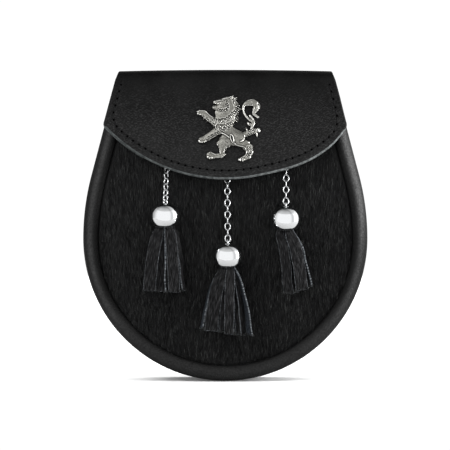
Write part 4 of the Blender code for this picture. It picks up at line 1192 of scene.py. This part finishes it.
# Limbs of a rampant lion that faces left: rows of (x, z, half width, relief) from the badge's centre.
LIMBS = {
    "skull": [(2.4, 18.6, 2.0, 1.7), (-0.4, 16.6, 3.6, 2.2), (-3.4, 16.2, 3.0, 2.1)],
    "ear": [(1.6, 19.4, 1.0, 1.9), (3.2, 20.5, 0.45, 1.4)],
    "muzzle": [(-4.0, 16.0, 2.6, 2.1), (-6.8, 16.25, 1.8, 2.0), (-8.5, 16.25, 1.4, 1.9)],
    "brow": [(-3.2, 18.5, 0.95, 2.2), (-0.8, 19.1, 0.9, 2.1), (2.4, 19.9, 0.7, 1.7)],
    "jaw": [(-4.0, 13.0, 2.4, 1.9), (-7.4, 12.7, 1.8, 1.8), (-9.2, 12.95, 1.5, 1.7)],
    "throat": [(-4.0, 13.0, 3.6, 1.9), (-4.7, 9.6, 4.2, 2.1)],
    "mane": [(1.9, 17.0, 3.3, 2.0), (1.6, 13.6, 4.5, 2.4), (0.4, 10.6, 5.8, 2.6), (-1.4, 7.2, 6.8, 2.8),
             (-2.8, 3.8, 6.6, 2.6), (-3.2, 1.6, 6.0, 2.4)],
    "torso": [(-3.0, 1.0, 5.6, 2.4), (-1.0, -1.6, 4.4, 2.4), (2.6, -4.2, 4.2, 2.3), (6.6, -5.8, 4.0, 2.5)],
    "raised_leg": [(-7.6, 3.2, 3.0, 2.2), (-11.0, 5.0, 2.4, 2.0), (-13.6, 7.0, 2.4, 1.8),
                   (-15.6, 9.2, 2.2, 1.8), (-18.4, 9.6, 1.9, 1.8)],
    "low_leg": [(-5.0, -0.8, 3.2, 2.1), (-8.6, -3.1, 2.7, 2.0), (-12.4, -5.6, 2.45, 1.8),
                (-15.4, -7.4, 2.3, 1.7), (-17.4, -8.0, 2.2, 1.7)],
    "left_thigh": [(-1.2, -6.4, 3.6, 2.2), (-2.0, -9.0, 4.5, 2.3), (-3.4, -11.6, 3.3, 2.1),
                   (-4.0, -14.4, 2.1, 1.8), (-4.0, -17.4, 1.7, 1.7)],
    "left_knee": [(-3.4, -9.4, 3.4, 2.2), (-5.9, -10.3, 1.9, 1.9)],
    "left_ham": [(-1.0, -8.8, 3.2, 2.2), (0.2, -10.2, 2.4, 1.9)],
    "loin": [(0.6, -8.6, 2.8, 2.2), (4.6, -9.6, 2.6, 2.1), (8.8, -10.2, 2.6, 2.1)],
    "left_foot": [(-4.2, -18.0, 1.7, 1.6), (-7.6, -18.2, 1.6, 1.5), (-9.6, -18.2, 2.1, 1.7),
                  (-11.5, -18.1, 2.95, 1.9)],
    "left_heel": [(-2.9, -17.4, 1.2, 1.6), (-1.5, -17.0, 0.5, 1.0)],
    "right_thigh": [(6.6, -6.6, 4.2, 2.5), (7.8, -9.2, 3.7, 2.4), (10.6, -11.0, 2.9, 2.2),
                    (12.9, -13.0, 3.2, 2.0), (13.6, -15.4, 2.8, 1.8), (12.9, -18.3, 2.3, 1.7)],
    "right_foot": [(12.9, -18.3, 2.2, 1.7), (10.4, -19.6, 1.8, 1.6), (8.0, -20.4, 1.7, 1.8)],
    "right_toe": [(9.8, -20.4, 1.2, 1.7), (9.2, -21.0, 1.1, 1.6)],
    "right_hock": [(11.2, -9.4, 1.5, 2.2), (13.2, -9.5, 1.1, 2.4)],
    "tail_root": [(9.6, -4.8, 2.1, 2.1), (13.0, -3.5, 2.0, 1.9), (16.0, -2.6, 1.7, 1.8),
                  (18.8, -1.7, 1.7, 2.0)],
    "tail_ball": [(19.2, -1.6, 1.75, 2.2), (19.6, -2.0, 1.5, 2.1)],
    "tail_spur": [(18.0, -3.2, 1.1, 1.6), (18.6, -5.8, 0.4, 0.9)],
    "tail_barb": [(12.4, -2.4, 1.1, 1.5), (11.4, -0.1, 0.35, 0.8)],
    "tail_stem": [(14.9, -1.4, 1.2, 1.5), (15.4, 0.4, 1.2, 1.5), (16.1, 2.4, 1.35, 1.6),
                  (15.9, 4.3, 1.4, 1.5), (15.1, 6.0, 1.2, 1.5), (13.9, 7.7, 0.95, 1.4)],
    "tail_leaf": [(15.0, 1.8, 1.2, 1.3), (13.4, 2.2, 1.25, 1.3), (12.7, 3.0, 0.9, 1.0)],
    "tail_loop": [(15.2, 3.9, 1.0, 1.4), (13.2, 5.4, 1.0, 1.3), (11.3, 7.4, 0.95, 1.3),
                  (10.0, 9.7, 0.9, 1.3), (9.5, 12.0, 0.9, 1.3), (10.0, 14.2, 1.1, 1.4),
                  (11.4, 15.4, 1.6, 1.5), (13.4, 16.1, 2.2, 1.6), (15.6, 16.2, 2.5, 1.7),
                  (17.3, 15.3, 2.4, 1.7), (18.4, 13.5, 2.3, 1.6), (17.4, 11.4, 2.0, 1.5),
                  (16.5, 9.7, 1.45, 1.4), (16.3, 8.7, 1.1, 1.3), (17.5, 7.8, 1.05, 1.2),
                  (18.9, 6.8, 1.1, 1.2)],
    "bridge": [(6.0, 11.9, 0.9, 0.6), (9.2, 11.9, 0.45, 0.3)],
}
# Toes and teeth: (x, z, radius, relief).
KNOBS = [
    (-19.7, 10.3, 1.0, 2.1), (-19.6, 8.9, 0.95, 2.1), (-18.2, 8.5, 0.85, 2.1), (-16.8, 8.5, 0.85, 2.0),
    (-18.8, -8.4, 1.0, 2.0), (-18.2, -9.2, 0.9, 2.1), (-16.8, -9.3, 0.9, 2.1), (-15.2, -9.0, 0.9, 2.0),
    (-13.2, -18.8, 1.1, 2.2), (-12.1, -19.4, 1.1, 2.3), (-10.7, -19.4, 1.1, 2.1), (7.2, -20.5, 1.35, 2.5),
    (-8.4, 15.8, 0.55, 2.2), (-6.8, 15.6, 0.6, 2.2), (-5.1, 15.7, 0.55, 2.2),
]
# Raised folds and engraved lines: rows of (x, z, half width, height added).
RIDGES = {
    "flank_left": [(1.2, -5.0, 0.35, 0.6), (1.5, -6.9, 0.35, 0.8), (2.4, -9.0, 0.35, 0.7),
                   (3.4, -10.2, 0.35, 0.6)],
    "flank_right": [(1.2, -4.6, 0.35, 0.7), (2.0, -4.2, 0.4, 0.9), (3.1, -6.2, 0.42, 1.0),
                    (3.8, -9.8, 0.42, 0.9)],
    "flank_hem": [(3.8, -9.8, 0.42, 0.9), (4.5, -10.9, 0.4, 0.9), (7.0, -11.8, 0.4, 0.8),
                  (10.6, -12.6, 0.45, 0.9)],
    "shank_inside": [(10.6, -12.6, 0.45, 0.9), (11.8, -15.0, 0.4, 0.7), (11.5, -17.0, 0.4, 0.7),
                     (9.4, -18.7, 0.4, 0.6)],
    "belly": [(-4.9, -3.7, 0.4, 0.7), (-3.2, -3.8, 0.5, 1.0), (-1.2, -4.9, 0.5, 1.0),
              (0.5, -6.3, 0.4, 0.8)],
    "rump": [(10.4, -4.9, 0.4, 0.8), (10.6, -6.9, 0.5, 0.9), (9.4, -8.1, 0.5, 0.9), (7.9, -8.8, 0.5, 0.9)],
    "shin": [(-7.3, -10.3, 0.35, 0.6), (-6.6, -12.4, 0.35, 0.7), (-5.5, -15.4, 0.35, 0.7),
             (-5.2, -16.6, 0.35, 0.6)],
    "instep": [(-5.2, -16.6, 0.35, 0.6), (-8.6, -17.0, 0.35, 0.5), (-10.6, -15.9, 0.35, 0.5)],
    "calf": [(-2.6, -13.8, 0.4, 0.6), (-2.6, -15.8, 0.45, 0.8), (-1.9, -17.0, 0.4, 0.6)],
    "heel": [(-2.6, -18.2, 0.4, 0.6), (-4.4, -19.2, 0.35, 0.5)],
    "nose": [(-9.3, 16.9, 0.3, 0.3), (-8.6, 17.5, 0.3, 0.3), (-5.6, 17.9, 0.3, 0.3)],
    "chin": [(-10.2, 13.9, 0.32, 0.5), (-9.9, 12.9, 0.32, 0.5), (-8.4, 12.9, 0.3, 0.3)],
    "arm": [(-9.6, 6.6, 0.35, 0.3), (-12.0, 8.0, 0.35, 0.4), (-14.2, 10.3, 0.35, 0.4)],
    "wrist": [(-15.0, 11.0, 0.35, 0.4), (-18.8, 11.1, 0.35, 0.4)],
    "tail_rim": [(9.6, 11.0, 0.3, 0.4), (10.2, 13.3, 0.3, 0.5), (11.4, 14.3, 0.3, 0.6),
                 (15.7, 14.3, 0.3, 0.5)],
    "stem_edge": [(16.9, 4.2, 0.3, 0.5), (16.9, 2.4, 0.3, 0.5), (15.9, 0.3, 0.3, 0.5)],
}
ENGRAVED = {
    "mouth": [(-10.6, 14.5, 0.42, 2.6), (-8.6, 14.5, 0.32, 2.0), (-6.4, 14.6, 0.28, 1.4),
              (-4.4, 14.5, 0.24, 0.6)],
    "mane_front": [(-1.6, 15.4, 0.25, 0.5), (-2.0, 13.6, 0.25, 0.5), (-1.4, 12.2, 0.25, 0.5)],
    "eye": [(-3.4, 17.9, 0.3, 0.7), (-2.4, 17.7, 0.3, 0.7)],
    "lip": [(-7.4, 16.4, 0.24, 0.6), (-5.2, 16.85, 0.24, 0.6), (-3.3, 17.05, 0.22, 0.4)],
    "cheek": [(0.3, 14.8, 0.26, 0.7), (0.0, 13.8, 0.22, 0.5)],
    "whisker": [(0.3, 13.2, 0.22, 0.6), (0.1, 11.8, 0.24, 0.6)],
    "ear": [(1.0, 18.9, 0.28, 0.6), (2.3, 20.0, 0.28, 0.6)],
    "flank": [(1.9, -5.6, 0.3, 0.6), (2.9, -8.6, 0.3, 0.6)],
    "low_leg": [(-6.6, -3.6, 0.26, 0.6), (-10.2, -5.9, 0.26, 0.6), (-14.0, -8.0, 0.26, 0.6)],
    "thigh": [(-1.6, -9.0, 0.6, 0.25), (-0.4, -9.8, 0.5, 0.25)],
    "left_toe_a": [(-12.9, -20.6, 0.24, 0.8), (-12.4, -18.4, 0.2, 0.4)],
    "left_toe_b": [(-11.4, -20.9, 0.24, 0.8), (-11.2, -18.6, 0.2, 0.4)],
    "right_toe": [(8.6, -22.0, 0.28, 1.0), (8.3, -20.4, 0.26, 0.9), (9.0, -18.9, 0.24, 0.5)],
    "tail_slit": [(19.1, 15.5, 0.35, 1.6), (19.8, 14.3, 0.4, 1.8), (19.7, 13.0, 0.35, 1.6)],
    "tail_line": [(12.6, 17.2, 0.26, 0.25), (15.0, 17.5, 0.26, 0.25)],
    "tail_fold": [(17.9, 13.8, 0.26, 0.4), (17.2, 11.6, 0.26, 0.4)],
    "stem_line": [(15.3, 4.9, 0.26, 0.6), (14.2, 6.6, 0.26, 0.5)],
    "ball_line": [(18.4, -0.4, 0.28, 0.7), (18.8, -2.4, 0.28, 0.8)],
    "leaf_line": [(13.3, 3.2, 0.24, 0.5), (13.9, 1.8, 0.24, 0.5)],
}
# Rows of locks: (first root x, z, last root x, z, bow, count, heading at first and last in degrees, length).
LOCKS = [
    (3.6, 19.2, 4.9, 5.0, -1.5, 12, 0.0, -60.0, 1.5),
    (2.8, 18.2, 3.8, 8.4, -1.2, 8, -40.0, -70.0, 1.2),
    (-6.6, 11.8, -0.8, 12.0, 0.6, 5, -100.0, -80.0, 0.9),
    (-0.6, 16.8, -0.2, 12.6, 0.0, 4, -70.0, -80.0, 0.8),
    (-9.4, 5.9, 3.4, 10.6, 2.6, 11, -100.0, -55.0, 1.6),
    (-9.8, 2.6, 5.0, 6.4, 2.4, 12, -95.0, -50.0, 2.2),
    (-2.2, 0.3, 0.4, 0.3, 0.0, 3, -90.0, -90.0, 1.6),
    (-5.6, -0.4, -3.4, -1.8, 0.0, 3, -80.0, -80.0, 1.3),
    (-16.6, 7.8, -10.0, 3.0, 0.0, 6, -120.0, -130.0, 1.2),
    (-14.6, -7.6, -6.4, -2.2, 0.0, 8, -75.0, -75.0, 1.2),
    (11.4, -4.8, 17.0, -3.0, 0.0, 5, -76.0, -60.0, 1.2),
    (13.6, -2.2, 17.2, -1.0, 0.0, 4, 60.0, 80.0, 0.8),
    (14.6, -12.0, 13.2, -18.0, -0.5, 5, -50.0, -65.0, 1.6),
    (12.6, -12.4, 12.0, -16.6, 0.0, 3, -50.0, -70.0, 1.2),
    (0.6, -11.6, -2.4, -14.2, 0.0, 4, -60.0, -50.0, 1.1),
]


def stroke_field(x, z, rows):
    """(relief, distance inside) of a tapering limb: an elliptic dome on each segment's centre line."""
    relief = np.zeros_like(x)
    inside = np.full_like(x, -99.0)
    for (x0, z0, w0, h0), (x1, z1, w1, h1) in zip(rows, rows[1:]):
        span = (x1 - x0) ** 2 + (z1 - z0) ** 2
        t = np.clip(((x - x0) * (x1 - x0) + (z - z0) * (z1 - z0)) / span, 0, 1)
        distance = np.hypot(x - x0 - t * (x1 - x0), z - z0 - t * (z1 - z0))
        width, height = w0 + t * (w1 - w0), h0 + t * (h1 - h0)
        inside = np.maximum(inside, width - distance)
        relief = np.maximum(relief, height * np.sqrt(np.clip(1 - (distance / width) ** 2, 0, 1)))
    return relief, inside


def lock_rows():
    """Each lock of the mane and tufts as a short stroke: roots along a bowed line, fanned, uneven."""
    draw = np.random.default_rng(9)
    for x0, z0, x1, z1, bow, count, first, last, length in LOCKS:
        for share in np.linspace(0, 1, count):
            lean = 4 * bow * share * (1 - share)
            across = np.array([-(z1 - z0), x1 - x0]) / math.hypot(x1 - x0, z1 - z0)
            root = np.array([x0 + (x1 - x0) * share, z0 + (z1 - z0) * share]) - lean * across
            root = root + draw.uniform(-0.3, 0.3, 2)
            heading = math.radians(first + (last - first) * share + draw.uniform(-16, 16))
            reach = length * draw.uniform(0.8, 1.35)
            tip = root + reach * np.array([math.cos(heading), math.sin(heading)])
            yield root, tip, draw.uniform(0.34, 0.5)


def relief_fields(x, z):
    """(relief, distance inside) of the lion: limbs blended by a fourth-power mean, then locks and lines."""
    relief = np.zeros_like(x)
    inside = np.full_like(x, -99.0)
    knobs = [[(left, up, *size), (left + 0.01, up, *size)] for left, up, *size in KNOBS]
    for rows in [*LIMBS.values(), *knobs]:
        height, depth = stroke_field(x, z, rows)
        relief = (relief**4 + height**4) ** 0.25
        inside = np.maximum(inside, depth)
    body = np.maximum(relief, 0.8) * 0.82
    for root, tip, wide in lock_rows():
        rows = [(*root, wide, 0.1), (*(root * 0.45 + tip * 0.55), wide, 1.0), (*tip, 0.22, 0.5)]
        height, depth = stroke_field(x, z, rows)
        near = depth > 0
        valley = np.where((depth > -0.26) & ~near, 0.5, 0)
        relief = np.where(near, np.maximum(body + height, relief * 0.82), relief - valley)
        inside = np.maximum(inside, depth)
    for rows in RIDGES.values():
        relief = relief + stroke_field(x, z, rows)[0]
    for rows in ENGRAVED.values():
        relief = relief - stroke_field(x, z, rows)[0]
    return np.maximum(relief, 0) * ease(inside, -0.1, 0.5), inside


def blurred(field, passes):
    """A field averaged with its neighbours on the grid, several times."""
    for _ in range(passes):
        beside = [np.roll(field, step, axis) for axis in (0, 1) for step in (1, -1)]
        field = sum(beside, field) / 5
    return field


def make_badge(material):
    """The cast lion: a height field over a fine grid, cut where it leaves every limb, on a thin plate.

    Points near the cut are moved onto it. The "cavity" is how far the relief lies below its blurred height.
    """
    span = np.arange(-23, 23, BADGE_CELL)
    z, x = np.meshgrid(span, span, indexing="ij")
    _, inside = relief_fields(x, z)
    slope_z, slope_x = np.gradient(inside, BADGE_CELL)
    steep = np.maximum(slope_x**2 + slope_z**2, 0.2)
    snap = np.abs(inside) < 0.75 * BADGE_CELL
    x = np.where(snap, x - inside * slope_x / steep, x)
    z = np.where(snap, z - inside * slope_z / steep, z)
    relief, _ = relief_fields(x, z)
    cavity = blurred(relief, 14) - relief
    use = (inside > 0) | snap
    quads = grid_faces(*x.shape)
    quads = quads[use.ravel()[quads].all(axis=1)]
    used, quads = np.unique(quads, return_inverse=True)
    quads = quads.reshape(-1, 4)
    count = len(used)
    start, end = quads.ravel(), np.roll(quads, -1, axis=1).ravel()
    is_border = ~np.isin(start * count + end, end * count + start)
    start, end = start[is_border], end[is_border]
    wall = stacked(end, start, start + count, end + count)
    x, z, height = (field.ravel()[used] for field in (x + BADGE_X, z + BADGE_Z, relief))
    plate_y = flap_y(x, z, FLAP_STAND_OFF) - BADGE_GAP
    front = stacked(x, plate_y - BADGE_BASE - height, z)
    points = np.concatenate([front, stacked(x, plate_y, z)])
    faces = outwards(points, [np.concatenate([quads, quads[:, ::-1] + count, wall])])
    recess = np.append(cavity.ravel()[used] * 1.1 + 0.42, np.full(count, 0.9))
    add_piece("lion_relief", points, faces, material, ["lion_badge"], "antiqued_metal", {"cavity": recess})


# ------------------------------------------------------------------ stage, light and camera

# Metres from here on. The floor ends just before the pouch, so that it doesn't mirror in the bells.
FLOOR_HALF_WIDTH = 0.9
FLOOR_FRONT = -0.22
FLOOR_BACK = 1.2
FLOOR_GAP = 0.0002
FLOOR_LIFT = 0.075  # the floor's own light in the camera's eyes, which whitens it as the photograph's is
LIGHT_AIM = (0, -0.03, -0.065)
CAMERA_AIM = (-0.0002, -0.025, -0.0657)
CAMERA_AWAY = 2.031
CAMERA_RISE = math.radians(2.2)

# Softboxes: (name, place, width and height, power in watts, whether it lights the bells too).
SOFTBOXES = [
    ("side", (0.92, -0.2, -0.02), (0.26, 0.9), 14.0, True),
    ("left", (-0.92, -0.35, -0.02), (0.3, 0.9), 1.6, False),
    ("key", (-0.62, -0.66, 0.62), (0.3, 0.3), 3.0, False),
]

# Steps of the studio's tone: (angle read, start and end in degrees, tone before, tone after).
# A softbox in front, a dim gap, a bright right side, a dim left side and a grey ceiling.
STUDIO_STEPS = [
    ("turn", -110, -60, 0.45, 1.15),
    ("turn", 34, 54, 1.0, 0.66),
    ("turn", 54, 72, 1.0, 1.6),
    ("turn", 120, 160, 1.0, 0.5),
    ("rise", 40, 48, 1.0, 0.62),
    ("rise", 48, 90, 1.0, 0.35),
]


def studio_tone(tree):
    """What the metal mirrors: a product of smooth steps over the heading's turn and its rise."""
    x, y, z = add_node(tree, "SeparateXYZ", (add_node(tree, "TexCoord", out="Generated"),)).node.outputs
    ahead = add_node(tree, "Math", (y, -1.0), operation="MULTIPLY")
    turn = add_node(tree, "Math", (x, ahead), operation="ARCTAN2")
    rise = add_node(tree, "Math", (z,), operation="ARCSINE")
    tone = 1.0
    for angle, start, end, before, after in STUDIO_STEPS:
        reading = (turn if angle == "turn" else rise, math.radians(start), math.radians(end), before, after)
        step = add_node(tree, "MapRange", reading, interpolation_type="SMOOTHSTEP")
        tone = add_node(tree, "Math", (tone, step), operation="MULTIPLY")
    return tone


def make_floor():
    """A matt white card under the pouch's lowest point, darker to the metal than to the camera."""
    level = cad_bounds[0].z - FLOOR_GAP
    x, near, far = FLOOR_HALF_WIDTH, FLOOR_FRONT, FLOOR_BACK
    mesh = bpy.data.meshes.new("floor")
    ring = [(-x, near, level), (x, near, level), (x, far, level), (-x, far, level)]
    mesh.from_pydata(ring, [], [(0, 1, 2, 3)])
    material, tree, shader = new_material("white_card")
    seen = add_node(tree, "LightPath", out="Is Camera Ray")
    card = add_node(tree, "MixRGB", (seen, (0.42, 0.42, 0.42, 1), (0.9, 0.9, 0.9, 1)))
    lift = add_node(tree, "Math", (seen, FLOOR_LIFT), operation="MULTIPLY")
    feed(shader, {"Base Color": card, "Roughness": 0.9, "Specular IOR Level": 0.0,
                  "Emission Color": (1, 1, 1, 1), "Emission Strength": lift})
    mesh.materials.append(material)
    floor = place_in_scene("floor", mesh)
    return floor


def add_softbox(name, place, size, power):
    """A rectangular softbox at a place, turned towards the pouch."""
    data = bpy.data.lights.new(name, "AREA")
    data.shape = "RECTANGLE"
    data.size, data.size_y = size
    data.energy = power
    light = place_in_scene(name, data)
    light.location = place
    light.rotation_euler = (Vector(LIGHT_AIM) - Vector(place)).to_track_quat("-Z", "Y").to_euler()
    return light


def light_studio(floor, bells):
    """White surroundings for the camera, dimmer ones for the object, three softboxes and a floor light."""
    world = bpy.data.worlds.new("studio")
    bpy.context.scene.world = world
    world.use_nodes = True
    tree = world.node_tree
    tree.nodes.clear()
    seen = add_node(tree, "Background", {"Color": (1, 1, 1, 1), "Strength": 1.05})
    lit = add_node(tree, "Background", {"Color": (0.99, 0.995, 1, 1), "Strength": studio_tone(tree)})
    is_seen = add_node(tree, "LightPath", out="Is Camera Ray")
    add_node(tree, "OutputWorld", {"Surface": add_node(tree, "MixShader", (is_seen, lit, seen))})
    # The bells mirror the studio's own tone, without the left and the key light.
    all_but_bells = bpy.data.collections.new("all_but_bells")
    for bell in bells:
        all_but_bells.objects.link(bell)
    for member in all_but_bells.collection_objects:
        member.light_linking.link_state = "EXCLUDE"
    for *softbox, lights_bells in SOFTBOXES:
        light = add_softbox(*softbox)
        if not lights_bells:
            light.light_linking.receiver_collection = all_but_bells
    # A wide light from above gives the floor its soft shadow.
    sky = bpy.data.lights.new("sky", "SUN")
    sky.energy = 3.6
    sky.angle = math.radians(100)
    overhead = place_in_scene("sky", sky)
    overhead.rotation_euler = (math.radians(-8), 0, 0)
    floor_alone = bpy.data.collections.new("lit_by_sky")
    floor_alone.objects.link(floor)
    overhead.light_linking.receiver_collection = floor_alone


def add_camera():
    """A long lens a little above the pouch's middle, as in the photograph."""
    data = bpy.data.cameras.new("camera")
    data.lens = 250
    camera = place_in_scene("camera", data)
    backward = Vector((0, -math.cos(CAMERA_RISE), math.sin(CAMERA_RISE)))
    camera.location = Vector(CAMERA_AIM) + CAMERA_AWAY * backward
    camera.rotation_euler = (Vector(CAMERA_AIM) - camera.location).to_track_quat("-Z", "Y").to_euler()
    bpy.context.scene.camera = camera


def main():
    """Every piece with its material, then the stage, the light and the camera."""
    calf, pebbled, strand = smooth_leather(), pebbled_leather(), thread()
    metal = chrome("chromed_brass", "#bfc0c1", 0.14, 0.22)
    bright = chrome("bright_chromed_brass", "#e6e7e8", 0.07, 0.12)
    hair, strip = hair_material(), strip_material()
    make_rim(calf)
    make_back(calf, strand)
    make_strap_loop(calf, strand)
    make_flap(pebbled)
    make_lining(pebbled)
    make_flap_stitches(strand)
    make_hide(hide_material())
    make_coat("hair_under", 31, hair, 1.0)
    make_coat("hair_over", 47, hair, 0.8)
    bells = []
    for seed, side in ((60, "left"), (70, "middle"), (80, "right")):
        make_chain(side, metal)
        bells.append(make_bell(side, bright))
        make_tassel(side, seed, strip, hair)
    for node in ("chain_post_left", "chain_post_middle", "chain_post_right", "closure_stud"):
        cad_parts[node].data.materials.clear()
        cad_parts[node].data.materials.append(metal)
    make_badge(pewter())
    light_studio(make_floor(), bells)
    add_camera()
    bpy.context.scene.view_settings.view_transform = "Standard"


main()
